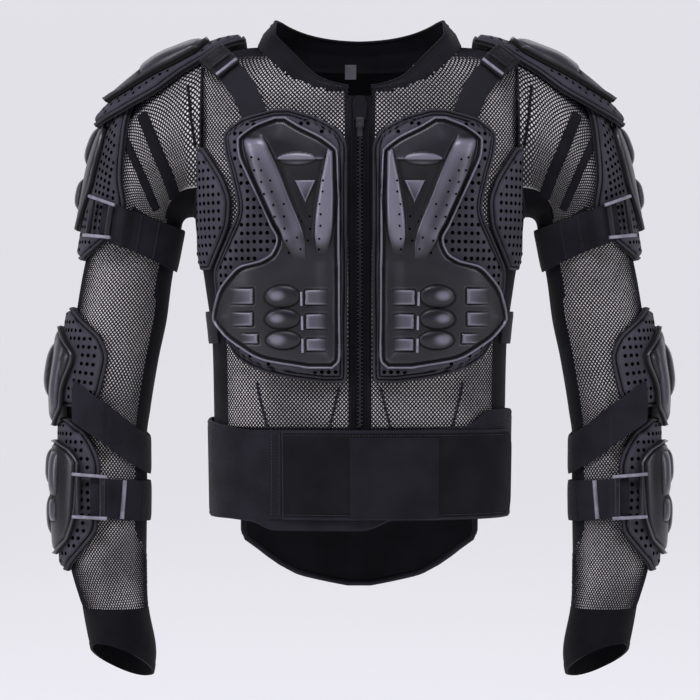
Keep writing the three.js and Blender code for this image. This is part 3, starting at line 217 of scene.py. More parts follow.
def smooth(t):
    t = np.clip(t, 0, 1)
    return t * t * (3 - 2 * t)


def unit(v):
    return v / np.maximum(np.linalg.norm(v, axis=-1, keepdims=True), 1e-9)


def signed_power(value, exponent):
    return np.sign(value) * np.abs(value) ** exponent


def body_section(z):
    down = -z / BODY_DROP
    return (CHEST_HALF * BODY("half", down), FRONT_DEPTH * BODY("front", down),
            BACK_DEPTH * BODY("back", down), BODY("square", down))


def body_level(p):
    half, front, back, square = body_section(p[..., 2])
    depth = np.where(p[..., 1] < 0, front, back)
    return (np.abs(p[..., 0]) / half) ** square + (np.abs(p[..., 1]) / depth) ** square


def body_slope(p):
    shifts = 0.5 * np.eye(3)
    return np.stack([body_level(p + s) - body_level(p - s) for s in shifts], -1)


def on_body(z, turn, out=0.0):
    """A point on the body's surface: turn in degrees from the front middle to the wearer's left."""
    z, turn, out = np.broadcast_arrays(np.asarray(z, float), turn, out)
    half, front, back, square = body_section(z)
    cosine = np.cos(turn * RAD)
    depth = np.where(cosine > 0, front, back)
    point = np.stack([half * signed_power(np.sin(turn * RAD), 2 / square),
                      -depth * signed_power(cosine, 2 / square), z], -1)
    return point + unit(body_slope(point)) * out[..., None]


def turn_at(x, z, back=False):
    half, _, _, square = body_section(np.asarray(z, float))
    turn = np.arcsin(np.minimum(np.abs(x) / half, 1) ** (square / 2)) / RAD
    return np.sign(x) * ((180 - turn) if back else turn)


def seat_on_body(p, out):
    for _ in range(6):
        slope = body_slope(p)
        p = p - slope * ((body_level(p) - 1) / (slope ** 2).sum(-1))[..., None]
    return p + unit(body_slope(p)) * np.asarray(out)[..., None]


def arm_point(at, angle):
    at, angle = np.broadcast_arrays(np.asarray(at, float), angle)
    inner = CHEST_HALF + ARM_SPREAD * ARM("inner_out", at), -ARM_DROP * ARM("inner_down", at)
    outer = CHEST_HALF + ARM_SPREAD * ARM("outer_out", at), -ARM_DROP * ARM("outer_down", at)
    cosine, sine = np.cos(angle * RAD) / 2, np.sin(angle * RAD) / 2
    return np.stack([
        (inner[0] + outer[0]) / 2 + (outer[0] - inner[0]) * cosine,
        SLEEVE_DEPTH * (ARM("forward", at) - ARM("depth", at) * sine),
        (inner[1] + outer[1]) / 2 + (outer[1] - inner[1]) * cosine,
    ], -1)


def on_arm(at, angle, out=0.0):
    """A point on the sleeve at the wearer's left: angle from its outer edge, positive to the front."""
    at, angle, out = np.broadcast_arrays(np.asarray(at, float), angle, out)
    point = arm_point(at, angle)
    along = arm_point(at + 0.004, angle) - arm_point(at - 0.004, angle)
    around = arm_point(at, angle + 1) - arm_point(at, angle - 1)
    normal = unit(np.cross(along, around))
    centre = (arm_point(at, 0) + arm_point(at, 180)) / 2
    flip = np.where(((point - centre) * normal).sum(-1) < 0, -1, 1)
    return point + normal * (flip * out)[..., None]


def arm_scale(at, angle=0.0):
    return np.linalg.norm(arm_point(at + 0.01, angle) - arm_point(at - 0.01, angle), axis=-1) / 0.02


def seen_at(p):
    """Picture points at which points of the object show."""
    scale = CAMERA_DISTANCE / (CAMERA_DISTANCE + p[..., 1]) / POINT
    return np.stack([MIDDLE_POINT + p[..., 0] * scale,
                     IMAGE_SIDE / 2 - (p[..., 2] - CAMERA_HEIGHT) * scale], -1)


def body_spot(across, down):
    """Height and turn of the front of the body that shows at these picture points of its left half."""
    y = -100.0 * np.ones_like(np.asarray(across, float))
    for _ in range(5):
        scale = POINT * (CAMERA_DISTANCE + y) / CAMERA_DISTANCE
        x = (np.asarray(across) - MIDDLE_POINT) * scale
        z = CAMERA_HEIGHT - (np.asarray(down) - IMAGE_SIDE / 2) * scale
        turn = turn_at(x, z)
        y = on_body(z, turn)[..., 1]
    return z, turn


ARM_CHART_AT, ARM_CHART_ANGLE = np.meshgrid(np.linspace(-0.1, 1.0, 441), np.linspace(2, 178, 177),
                                            indexing="ij")
ARM_CHART = seen_at(on_arm(ARM_CHART_AT, ARM_CHART_ANGLE, GAP)).reshape(-1, 2)


def arm_spot(across, down):
    """Station and angle of the front of the sleeve that show at these picture points of its left half."""
    spots = np.stack([np.asarray(across, float), np.asarray(down, float)], -1).reshape(-1, 2)
    nearest = [int(((ARM_CHART - spot) ** 2).sum(-1).argmin()) for spot in spots]
    return ARM_CHART_AT.ravel()[nearest], ARM_CHART_ANGLE.ravel()[nearest]


class Form:
    """Points in millimetres, quads over them, and for each point its place on the flat cloth."""

    def __init__(self, points, faces, flat=None, finish=0):
        self.points = np.asarray(points, float).reshape(-1, 3)
        self.faces = np.asarray(faces, int).reshape(-1, 4)
        flat = np.zeros((len(self.points), 2)) if flat is None else flat
        self.flat = np.asarray(flat, float).reshape(-1, 2)
        self.finish = np.full(len(self.faces), finish) if np.isscalar(finish) else finish
        # Painted light for each point: a half is none, more is a painted highlight, less is painted shade.
        self.painted_light = np.full(len(self.points), 0.5)

    def with_painted_light(self, painted_light):
        """Sets the painted light of the first points, from 1 to 0: a painted highlight where they are raised,
        painted shade where they are sunken.
        """
        self.painted_light[:painted_light.size] = painted_light.ravel()
        return self

    def facing_out(self):
        a, b, c, d = (self.points[self.faces[:, k]] for k in range(4))
        volume = (a * np.cross(b, c)).sum() + (a * np.cross(c, d)).sum()
        if volume < 0:
            self.faces = self.faces[:, ::-1]
        return self

    def mirrored(self):
        turned = Form(self.points * [-1, 1, 1], self.faces[:, ::-1], self.flat, self.finish)
        return turned.with_painted_light(self.painted_light)

    def with_finish(self, finish):
        return Form(self.points, self.faces, self.flat, finish).with_painted_light(self.painted_light)


def grid_faces(rows, columns, closed_rows=False, closed_columns=False):
    r, c = np.meshgrid(np.arange(rows if closed_rows else rows - 1),
                       np.arange(columns if closed_columns else columns - 1), indexing="ij")
    r2, c2 = (r + 1) % rows, (c + 1) % columns
    corners = [r * columns + c, r * columns + c2, r2 * columns + c2, r2 * columns + c]
    return np.stack(corners, -1).reshape(-1, 4)


def rim_walk(rows, columns):
    """Indices round the edge of a grid of points."""
    index = np.arange(rows * columns).reshape(rows, columns)
    return np.concatenate([index[0, :-1], index[:-1, -1], index[-1, :0:-1], index[:0:-1, 0]])


def lengths_along(p, axis):
    step = np.linalg.norm(np.diff(p, axis=axis), axis=-1)
    total = np.cumsum(step, axis=axis)
    return np.concatenate([np.zeros_like(np.take(total, [0], axis)), total], axis)


def flat_of(p):
    """Lays a grid of points out flat: distances from its middle column and down that column."""
    middle = p.shape[1] // 2
    across = lengths_along(p, 1)
    down = lengths_along(p[:, middle:middle + 1], 0)
    return np.stack([across - across[:, middle:middle + 1], np.broadcast_to(down, across.shape)], -1)


def slab(top, bottom, flat=None, finish=0, closed_columns=False):
    """A solid sheet between two grids of points."""
    rows, columns = top.shape[:2]
    count = rows * columns
    faces = grid_faces(rows, columns, closed_columns=closed_columns)
    index = np.arange(count).reshape(rows, columns)
    if closed_columns:
        walks = [index[0], index[-1][::-1]]
    else:
        walks = [rim_walk(rows, columns)]
    sides = [np.stack([np.roll(w, -1), w, w + count, np.roll(w, -1) + count], -1) for w in walks]
    flat = flat_of(top) if flat is None else flat
    form = Form(np.concatenate([top.reshape(-1, 3), bottom.reshape(-1, 3)]),
                np.concatenate([faces, faces[:, ::-1] + count, *sides]),
                np.concatenate([flat.reshape(-1, 2)] * 2), finish)
    return form.facing_out()


def cloth(outer, inner, faces, flat, finish):
    """A closed sheet over the faces that are kept of two grids of points."""
    count = outer.size // 3
    edges = np.concatenate([faces[:, [k, (k + 1) % 4]] for k in range(4)])
    key, back = edges[:, 0] * count + edges[:, 1], edges[:, 1] * count + edges[:, 0]
    free = ~np.isin(key, back)
    start, end = edges[free].T
    sides = np.stack([end, start, start + count, end + count], -1)
    points = np.concatenate([outer.reshape(-1, 3), inner.reshape(-1, 3)])
    return Form(points, np.concatenate([faces, faces[:, ::-1] + count, sides]),
                np.concatenate([flat.reshape(-1, 2)] * 2),
                np.concatenate([finish, np.full(len(faces), 2), np.tile(finish, 4)[free]]))


def cut_size(grid):
    """Width and length in metres that a grid of points has when laid out flat."""
    return lengths_along(grid, 1)[:, -1].mean() * MM, lengths_along(grid, 0)[-1].mean() * MM


def area_of(grid, faces):
    a, b, c, d = (grid.reshape(-1, 3)[faces[:, k]] for k in range(4))
    return np.linalg.norm(np.cross(c - a, d - b), axis=1).sum() / 2 * MM * MM


def rim_of(grid):
    return grid.reshape(-1, 3)[rim_walk(*grid.shape[:2])]


def inset_from(points, rim):
    """Distance of each point from a closed line of points."""
    ahead = np.roll(rim, -1, 0) - rim
    length = np.maximum((ahead ** 2).sum(-1), 1e-9)
    result = []
    for block in np.array_split(points.reshape(-1, 3), max(1, points.size // 60000)):
        offset = block[:, None] - rim
        t = np.clip((offset * ahead).sum(-1) / length, 0, 1)
        result.append(np.sqrt(((offset - t[..., None] * ahead) ** 2).sum(-1).min(-1)))
    return np.concatenate(result).reshape(points.shape[:-1])


def softened(height, passes):
    """A relief with its small forms smoothed away."""
    for _ in range(passes):
        padded = np.pad(height, 1, mode="edge")
        beside = padded[:-2, 1:-1] + padded[2:, 1:-1] + padded[1:-1, :-2] + padded[1:-1, 2:]
        height = (beside + 4 * height) / 8
    return height


def painted_light_of(rise):
    """Painted light from a relief: above a half, a painted highlight, on raised forms; below it, painted
    shade, in grooves.
    """
    sharp = (rise - softened(rise, 5)) / 0.4
    broad = (rise - softened(rise, 480)) / 2.2
    return np.clip(0.5 + 0.25 * np.clip(sharp, -1, 1) + 0.3 * np.clip(broad, -1, 1), 0, 1)


def crowded(length, band, fine, coarse):
    """Shares along a length, close together within a band at each end."""
    band = min(band, length / 2 - fine)
    edge = np.arange(0, band, fine)
    middle = np.linspace(band, length - band, max(2, int((length - 2 * band) / coarse) + 1))
    return np.concatenate([edge, middle, length - edge[::-1]]) / length


class Guard:
    """A pad or plate on the body or an arm: where it starts and ends, and its two edges."""

    def __init__(self, surface, start, end, edges, share=(0.0, 1.0), lift=None):
        self.surface, self.start, self.end, self.edges = surface, start, end, edges
        self.share, self.lift = share, lift

    def place(self, v, u, out):
        v = mix(self.share[0], self.share[1], v)
        station = mix(self.start, self.end, v)
        first, last = self.edges(v, station)
        rise = 0 if self.lift is None else self.lift(v)
        return self.surface(station, mix(first, last, u), out + rise)

    def grid(self, out, fine, coarse, band):
        v, u = np.linspace(0, 1, 21), np.linspace(0, 1, 21)
        rough = self.place(v[:, None], u[None], out)
        tall = lengths_along(rough[:, 10:11], 0)[-1, 0]
        wide = lengths_along(rough, 1)[:, -1].max()
        return np.meshgrid(*(crowded(size, band, fine, coarse) for size in (tall, wide)), indexing="ij")

    def solid(self, base, thick, edge, fine=1.1, coarse=5.0, band=15.0, relief=None, dulled=None):
        v, u = self.grid(base, fine, coarse, band)
        low = self.place(v, u, base)
        inset = inset_from(low, rim_of(low))
        rise = thick * edge("rise", inset)
        if relief is not None:
            rise = rise + relief(v, u, low, inset)
        high = self.place(v, u, base + rise)
        self.rim, self.base, self.thick, self.edge = rim_of(low), base, thick, edge
        # Painted light from the relief, less any painted shading that is given.
        painted_light = painted_light_of(rise) if dulled is None else painted_light_of(rise) - dulled(low)
        return slab(high, low).with_painted_light(np.clip(painted_light, 0, 1))

    def holes(self, origin, margin, clear_of):
        """Even rows of spots over the pad, with the way that each one faces."""
        wide = np.arange(-110, 110.5, 1.0) + origin
        steps = np.linspace(self.start, self.end, 400)
        middle = self.surface(steps, origin, 0.0)
        travel = lengths_along(middle, 0)
        spots = []
        for row in range(1, int(travel[-1] / PERFORATION_ROWS)):
            station = np.interp(row * PERFORATION_ROWS, travel, steps)
            v = (station - self.start) / (self.end - self.start)
            if not self.share[0] < v < self.share[1]:
                continue
            first, last = self.edges(v, station)
            line = self.surface(station, wide, self.base + self.thick)
            arc = lengths_along(line, 0)
            arc = arc - np.interp(origin, wide, arc)
            count = int(max(abs(arc[0]), arc[-1]) / PERFORATION_COLUMNS)
            across = np.interp((np.arange(-count, count) + 0.5) * PERFORATION_COLUMNS, arc, wide)
            u = (across - first) / (last - first)
            across = across[(u > HOLE_EDGE) & (u < 1 - HOLE_EDGE)]
            spots += [(station, a, v) for a in across]
        if not spots:
            return np.zeros((0, 3)), np.zeros((0, 3))
        station, across, v = np.array(spots).T
        lift = (0 if self.lift is None else self.lift(v)) + self.base
        inset = inset_from(self.surface(station, across, lift), self.rim)
        keep = inset > margin
        if clear_of is not None:
            keep &= clear_of.outside(station, across, PLATE_CLEARANCE)
        out = lift + self.thick * self.edge("rise", inset) + HOLE_LIFT
        spot = self.surface(station, across, out)[keep]
        return spot, unit(self.surface(station, across, out + 2)[keep] - spot)

    def covers(self, station, across, spare=0.0):
        """Whether spots lie on the guard, further in than a spare share of it."""
        v = (station - self.start) / (self.end - self.start)
        first, last = self.edges(np.clip(v, *self.share), station)
        u = (across - first) / (last - first)
        return (v > self.share[0] + spare) & (v < self.share[1] - spare) & (u > spare) & (u < 1 - spare)

    def outside(self, station, across, clearance):
        near = self.surface(station, across, self.base)
        return ~self.covers(station, across) & (inset_from(near, self.rim) > clearance)


def body_edges(outline, width):
    return lambda v, z: (turn_at(width * outline("near", v), z), turn_at(width * outline("far", v), z))


def arm_edges(outline):
    return lambda v, at: (outline("front", v), outline("back", v))


def rib_edges(v, z):
    waist = PAD_WIDTH * CHEST_PAD["far"][3:8].min() + RIB_GAP + RIB_WIDTH
    edge = np.minimum(waist, body_section(z)[0] * 0.965)
    return turn_at(edge - RIB_WIDTH * RIB_PAD("leaf", v), z), turn_at(edge, z)


def back_edges(v, z):
    half = 180 - turn_at(BACK_HALF * BACK_PAD("half", v), z, True)
    return 180 - half, 180 + half


def shoulder_lift(v):
    return SHOULDER_FLARE * SHOULDER_PAD("lift", v)


chest_pad = Guard(on_body, -PAD_TOP, -PAD_TOP - PAD_HEIGHT, body_edges(CHEST_PAD, PAD_WIDTH))
chest_plate = Guard(on_body, -PLATE_TOP, -PLATE_TOP - PLATE_HEIGHT, body_edges(CHEST_PLATE, PLATE_WIDTH))
rib_pad = Guard(on_body, -RIB_TOP, -RIB_TOP - RIB_HEIGHT, rib_edges)
back_pad = Guard(on_body, -BACK_TOP, -TONGUE_DROP, back_edges)
arm_pad = Guard(on_arm, *ARM_GUARD, arm_edges(ARM_PAD))
arm_plate = Guard(on_arm, *ARM_GUARD, arm_edges(ARM_PLATE), (0.19, 0.82))
elbow_pad = Guard(on_arm, *ELBOW_GUARD, arm_edges(ELBOW_PAD))
elbow_plate = Guard(on_arm, *ELBOW_GUARD, arm_edges(ELBOW_PLATE), (0.2, 1.22))
forearm_pad = Guard(on_arm, *FOREARM_GUARD, arm_edges(FOREARM_PAD))
forearm_plate = Guard(on_arm, *FOREARM_GUARD, arm_edges(FOREARM_PLATE), (0.16, 0.9))
shoulder_pad = Guard(on_arm, *SHOULDER_REACH, arm_edges(SHOULDER_PAD), lift=shoulder_lift)
shoulder_plate = Guard(on_arm, *SHOULDER_REACH, arm_edges(SHOULDER_PLATE), (0.26, 0.86), shoulder_lift)


# Finishes
class Signal:
    """A number, colour or vector that flows between the nodes of one finish."""

    def __init__(self, finish, socket):
        self.finish, self.socket = finish, socket

    def maths(self, operation, *values):
        return self.finish.node("ShaderNodeMath", {"operation": operation}, dict(enumerate(values)))

    def __add__(self, other):
        return self.maths("ADD", self, other)

    def __sub__(self, other):
        return self.maths("SUBTRACT", self, other)

    def __mul__(self, other):
        return self.maths("MULTIPLY", self, other)

    def __rsub__(self, other):
        return self.maths("SUBTRACT", other, self)

    def __pow__(self, other):
        return self.maths("POWER", self, other)

    __radd__, __rmul__ = __add__, __mul__

    def size(self):
        return self.maths("ABSOLUTE", self)

    def sine(self):
        return self.maths("SINE", self)

    def least(self, other):
        return self.maths("MINIMUM", self, other)

    def between(self, low, high):
        return self.finish.node("ShaderNodeMapRange", {"interpolation_type": "SMOOTHSTEP"},
                                {"Value": self, "From Min": low, "From Max": high})


class Finish:
    """A material made of nodes, with its base colour, roughness and small relief."""

    def __init__(self, name, metallic=0.0, coat=0.0, sheen=0.0, specular=0.5):
        self.material = bpy.data.materials.new(name)
        self.material.use_nodes = True
        self.tree = self.material.node_tree
        self.shader = self.tree.nodes["Principled BSDF"]
        fixed = {"Metallic": metallic, "Coat Weight": coat, "Coat Roughness": 0.3, "Sheen Weight": sheen,
                 "Sheen Roughness": 0.5, "Specular IOR Level": specular}
        for socket, value in fixed.items():
            self.shader.inputs[socket].default_value = value

    def node(self, kind, settings=None, sockets=None, out=0):
        made = self.tree.nodes.new(kind)
        for name, value in (settings or {}).items():
            setattr(made, name, value)
        for name, value in (sockets or {}).items():
            self.feed(made.inputs[name], value)
        return Signal(self, made.outputs[out])

    def feed(self, socket, value):
        if isinstance(value, Signal):
            self.tree.links.new(value.socket, socket)
        else:
            socket.default_value = value

    def place(self):
        return self.node("ShaderNodeTexCoord", out="Object")

    def flat(self):
        """Millimetres across and along the flat cloth."""
        spread = self.node("ShaderNodeUVMap", {"uv_map": "flat"})
        split = self.node("ShaderNodeSeparateXYZ", {}, {"Vector": spread})
        return split, Signal(self, split.socket.node.outputs[1])

    def painted_light(self):
        """The painted light from the form's own relief: above a half, a painted highlight, where it is
        raised; below, painted shade, in its grooves.
        """
        return self.node("ShaderNodeAttribute", {"attribute_name": "painted_light"}, out=2)

    def noise(self, scale, detail=3.0, rough=0.5):
        return self.node("ShaderNodeTexNoise", {}, {
            "Vector": self.place(), "Scale": scale, "Detail": detail, "Roughness": rough})

    def blend(self, share, a, b):
        return self.node("ShaderNodeMix", {"data_type": "RGBA"}, {0: share, 6: a, 7: b}, out=2)

    def finish(self, colour, roughness, relief=None, depth=0.0004, strength=0.6):
        self.feed(self.shader.inputs["Base Color"], colour)
        self.feed(self.shader.inputs["Roughness"], roughness)
        if relief is not None:
            sockets = {"Height": relief, "Distance": depth, "Strength": strength}
            self.feed(self.shader.inputs["Normal"], self.node("ShaderNodeBump", {}, sockets))
        return self.material


def grey(level, blue=1.32):
    return (level, level * 0.96, level * blue, 1.0)


def weave(across, down, pitch):
    """Height of plain woven threads that pass over and under one another."""
    a = (across * (math.pi / pitch)).sine()
    b = (down * (math.pi / pitch)).sine()
    return (a * b).size() ** 0.6


def make_cloth(name, dark, light, pitch, sheen=0.15, ribs=None, roughness=0.78, depth=0.0004, blue=1.32):
    """Woven cloth between a dark and a light grey, plain or in ribs."""
    f = Finish(name, sheen=sheen * 0.4, specular=0.1)
    across, down = f.flat()
    threads = weave(across, down, pitch)
    patches = f.noise(26.0, 4.0).between(0.3, 0.7)
    fuzz = f.noise(900.0, 2.0)
    height = threads * 0.7 + fuzz * 0.3
    if ribs:
        height = height * 0.4 + ((across * (math.pi / ribs)).sine().size() ** 0.7) * 0.6
    shade = (threads * 0.45 + patches * 0.35 + fuzz * 0.2).between(0.1, 0.95)
    colour = f.blend(shade, grey(dark, blue), grey(light, blue))
    return f.finish(colour, roughness - patches * 0.08, height, depth)


def make_foam_cover(name, dark, light):
    f = Finish(name, sheen=0.05, specular=0.16)
    across, down = f.flat()
    grain = f.node("ShaderNodeTexVoronoi", {}, {"Vector": f.place(), "Scale": 1100.0})
    patches = f.noise(22.0, 4.0).between(0.3, 0.75)
    threads = weave(across, down, 0.9)
    shade = (grain * 0.5 + patches * 0.35 + threads * 0.25).between(0.1, 1.0)
    painted_relief_light = f.painted_light()
    colour = f.blend(shade, grey(dark, 1.2), grey(light, 1.2))
    # Painted shade in grooves, and a faint painted highlight on the raised bound edges.
    colour = f.blend(painted_relief_light.between(0.5, 0.15), colour, grey(dark * 0.12))
    colour = f.blend(painted_relief_light.between(0.6, 0.95) * 0.3, colour, grey(light * 1.9, 1.2))
    return f.finish(colour, 0.72 - patches * 0.12, grain * 0.6 + threads * 0.4, 0.0003)


def make_plastic(name, dark, light, roughness, wear=0.5, painted_highlight=0.17):
    f = Finish(name, specular=0.4)
    grain = f.noise(1600.0, 2.0)
    cloud = f.noise(14.0, 4.0).between(0.35, 0.7)
    edges = f.node("ShaderNodeNewGeometry", out="Pointiness").between(0.505, 0.56)
    scuffs = f.noise(160.0, 5.0, rough=0.7).between(0.52, 0.75)
    worn = (edges * scuffs * wear).least(1.0)
    painted_relief_light = f.painted_light()
    # Painted highlight on raised forms and painted shade in grooves; the grooves are also made rougher and
    # the raised forms get more coat.
    colour = f.blend(painted_relief_light.between(0.5, 0.8), f.blend(cloud, grey(dark), grey(light)), grey(painted_highlight, 1.2))
    colour = f.blend(worn, colour, grey(light * 3.0, 1.15))
    colour = f.blend(painted_relief_light.between(0.5, 0.2), colour, grey(dark * 0.05))
    rough = roughness + cloud * 0.06 + scuffs * 0.06 + painted_relief_light.between(0.45, 0.2) * 0.4
    f.feed(f.shader.inputs["Coat Weight"], painted_relief_light.between(0.45, 0.8) * 0.5)
    return f.finish(colour, rough, grain, 0.00012, 0.5)


def make_net_strand():
    f = Finish("net strands", sheen=0.02, specular=0.12)
    twist = f.noise(1400.0, 2.0)
    patches = f.noise(30.0, 3.0).between(0.3, 0.7)
    colour = f.blend(patches * 0.6 + twist * 0.4, grey(0.006), grey(0.02))
    return f.finish(colour, 0.7 - twist * 0.1, twist, 0.0003)


def make_net_ground():
    f = Finish("net ground knit", sheen=0.05, specular=0.1)
    across, down = f.flat()
    loops = weave(across, down, 0.8)
    patches = f.noise(11.0, 5.0).between(0.36, 0.64)
    shade = (patches * 0.7 + loops * 0.4).between(0.0, 1.0)
    return f.finish(f.blend(shade, grey(0.42, 0.93), grey(0.92, 0.92)), 0.85, loops, 0.0002)


def make_webbing(name, dark, light, pitch):
    f = Finish(name, sheen=0.05, specular=0.14)
    across, down = f.flat()
    slant = ((across + down) * (math.pi / pitch)).sine() * ((across - down) * (math.pi / pitch)).sine()
    cords = (across * (math.pi / (pitch * 1.5))).sine().size() ** 0.5
    fuzz = f.noise(700.0, 2.0)
    height = slant.size() * 0.5 + cords * 0.4 + fuzz * 0.1
    return f.finish(f.blend(height.between(0.15, 0.95), grey(dark), grey(light)), 0.68, height, 0.0004)


def make_plain(name, dark, light, roughness, specular=0.4):
    f = Finish(name, specular=specular)
    cloud = f.noise(120.0, 4.0).between(0.3, 0.7)
    scratches = f.noise(900.0, 3.0)
    colour = f.blend(cloud, grey(dark, 1.14), grey(light, 1.14))
    return f.finish(colour, roughness + scratches * 0.1, scratches, 0.0001)


def make_floor():
    f = Finish("pale studio floor", specular=0.1)
    cloud = f.noise(0.6, 2.0)
    tone = f.blend(cloud, (0.3, 0.298, 0.312, 1), (0.31, 0.308, 0.322, 1))
    f.feed(f.shader.inputs["Emission Color"], f.blend(cloud, (0.94, 0.93, 0.985, 1), (0.96, 0.95, 1.0, 1)))
    f.shader.inputs["Emission Strength"].default_value = 0.685
    return f.finish(tone, 0.95)


NET_STRANDS = make_net_strand()
NET_GROUND = make_net_ground()
PANEL = make_cloth("smooth stretch panel", 0.005, 0.011, 0.7, sheen=0.08)
COLLAR_CLOTH = make_cloth("collar cloth", 0.005, 0.012, 0.8, sheen=0.1)
CUFF_CLOTH = make_cloth("cuff cloth", 0.0035, 0.008, 0.8, sheen=0.05)
FLAP_CLOTH = make_cloth("belt flap cloth", 0.005, 0.011, 1.0, sheen=0.12)
BINDING = make_cloth("edge binding", 0.013, 0.026, 0.9, sheen=0.12)
PATCH_CLOTH = make_cloth("bare patch cloth", 0.009, 0.018, 1.2, sheen=0.1, roughness=0.85)
BELT_ELASTIC = make_cloth("ribbed belt elastic", 0.009, 0.022, 1.0, ribs=2.6, depth=0.0007)
ZIP_TAPE = make_cloth("zip tape", 0.004, 0.01, 0.7, ribs=2.0, sheen=0.05)
FOAM_COVER = make_foam_cover("perforated foam cover", 0.028, 0.058)
PLASTIC = make_plastic("satin moulded plastic", 0.01, 0.018, 0.34)
GUARD_PLASTIC = make_plastic("dark moulded plastic", 0.009, 0.016, 0.33, painted_highlight=0.05)
CAP_PLASTIC = make_plastic("shoulder cap plastic", 0.006, 0.012, 0.45, painted_highlight=0.03)
# Near-black discs of painted shadow that stand for the dark inside of each perforation.
HOLE_SHADOW = make_plain("shadow inside a hole", 0.0008, 0.0015, 0.95, specular=0.0)
STRAP_WEB = make_webbing("strap webbing", 0.008, 0.02, 1.6)
ARM_ELASTIC = make_cloth("arm elastic", 0.009, 0.02, 0.9, ribs=1.8, depth=0.0005)
LIGHT_BAR = make_plain("pale grey bar", 0.2, 0.32, 0.35)
THREAD = make_plain("stitching thread", 0.03, 0.06, 0.7)
TEETH = make_plain("zip teeth", 0.012, 0.03, 0.35)
TAB_CLOTH = make_cloth("grey tab cloth", 0.1, 0.2, 0.6, blue=1.08)
TONGUE_LINING = make_cloth("tongue lining", 0.005, 0.009, 1.0)
INSIDE_CLOTH = make_cloth("lining", 0.018, 0.034, 1.0)


def make_piece(name, forms, finishes, nodes=(), smooth_angle=SOFT_ANGLE):
    """One mesh object from forms. Each form's finish is a place in the list of finishes."""
    forms = [f for f in forms if len(f.faces)]
    starts = np.cumsum([0] + [len(f.points) for f in forms])
    points = np.concatenate([f.points for f in forms]) * MM
    faces = np.concatenate([f.faces + s for f, s in zip(forms, starts)])
    flat = np.concatenate([f.flat for f in forms])
    mesh = bpy.data.meshes.new(name)
    mesh.vertices.add(len(points))
    mesh.vertices.foreach_set("co", points.ravel())
    mesh.loops.add(faces.size)
    mesh.loops.foreach_set("vertex_index", faces.ravel().astype(np.int32))
    mesh.polygons.add(len(faces))
    mesh.polygons.foreach_set("loop_start", np.arange(0, faces.size, 4, dtype=np.int32))
    mesh.update(calc_edges=True)
    mesh.uv_layers.new(name="flat").data.foreach_set("uv", flat[faces.ravel()].ravel())
    # The painted light of each point, painted highlight or painted shade, goes on the mesh.
    painted_light = mesh.attributes.new("painted_light", "FLOAT", "POINT")
    painted_light.data.foreach_set("value", np.concatenate([f.painted_light for f in forms]))
    for finish in finishes:
        mesh.materials.append(finish)
    mesh.polygons.foreach_set("material_index", np.concatenate([f.finish for f in forms]).astype(np.int32))
    mesh.validate()
    if smooth_angle:
        mesh.polygons.foreach_set("use_smooth", np.ones(len(mesh.polygons), bool))
        mesh.set_sharp_from_angle(angle=smooth_angle * RAD)
    piece = bpy.data.objects.new(name, mesh)
    bpy.context.scene.collection.objects.link(piece)
    return settled(piece, nodes)


def settled(piece, nodes=()):
    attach(piece, "root")
    if nodes:
        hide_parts(*nodes)
    return piece


def make_pair(name, forms, finishes, extra=False, smooth_angle=SOFT_ANGLE):
    """A piece on the wearer's left and, mirrored, on the right. An extra one stands for no solid."""
    sides = ("left", forms), ("right", [f.mirrored() for f in forms])
    return [make_piece(f"{name}_{side}_made", made, finishes, () if extra else [f"{name}_{side}"],
                       smooth_angle) for side, made in sides]


# Small shapes that are set out by the hundred
STAMPS = {
    "hole": ("GeometryNodeMeshCircle", {"Vertices": 10, "Radius": 0.5}),
    "stitch": ("GeometryNodeMeshUVSphere", {"Segments": 6, "Rings": 5, "Radius": 0.5}),
    "block": ("GeometryNodeMeshCube", {}),
}


def repeat_tree(shape):
    tree = bpy.data.node_groups.new(f"repeat {shape}", "GeometryNodeTree")
    face = tree.interface
    face.new_socket("Spots", in_out="INPUT", socket_type="NodeSocketGeometry")
    for name in ("Length", "Width", "Rise"):
        face.new_socket(name, in_out="INPUT", socket_type="NodeSocketFloat")
    face.new_socket("Finish", in_out="INPUT", socket_type="NodeSocketMaterial")
    face.new_socket("Pieces", in_out="OUTPUT", socket_type="NodeSocketGeometry")
    add, link = tree.nodes.new, tree.links.new
    given, result = add("NodeGroupInput"), add("NodeGroupOutput")
    kind, settings = STAMPS[shape]
    stamp = add(kind)
    if shape == "hole":
        stamp.fill_type = "NGON"
    for name, value in settings.items():
        stamp.inputs[name].default_value = value
    size, resize = add("ShaderNodeCombineXYZ"), add("GeometryNodeTransform")
    for axis, name in enumerate(("Length", "Width", "Rise")):
        link(given.outputs[name], size.inputs[axis])
    link(stamp.outputs["Mesh"], resize.inputs["Geometry"])
    link(size.outputs[0], resize.inputs["Scale"])
    facing, along = add("GeometryNodeInputNamedAttribute"), add("GeometryNodeInputNamedAttribute")
    for node, name in ((facing, "facing"), (along, "along")):
        node.data_type = "FLOAT_VECTOR"
        node.inputs["Name"].default_value = name
    turn = add("FunctionNodeAxesToRotation")
    turn.primary_axis, turn.secondary_axis = "Z", "X"
    link(facing.outputs["Attribute"], turn.inputs["Primary Axis"])
    link(along.outputs["Attribute"], turn.inputs["Secondary Axis"])
    stand, real, paint = (add(kind) for kind in (
        "GeometryNodeInstanceOnPoints", "GeometryNodeRealizeInstances", "GeometryNodeSetMaterial"))
    link(given.outputs["Spots"], stand.inputs["Points"])
    link(resize.outputs["Geometry"], stand.inputs["Instance"])
    link(turn.outputs[0], stand.inputs["Rotation"])
    link(stand.outputs[0], real.inputs[0])
    link(real.outputs[0], paint.inputs["Geometry"])
    link(given.outputs["Finish"], paint.inputs["Material"])
    link(paint.outputs[0], result.inputs[0])
    return tree


REPEATS = {shape: repeat_tree(shape) for shape in STAMPS}


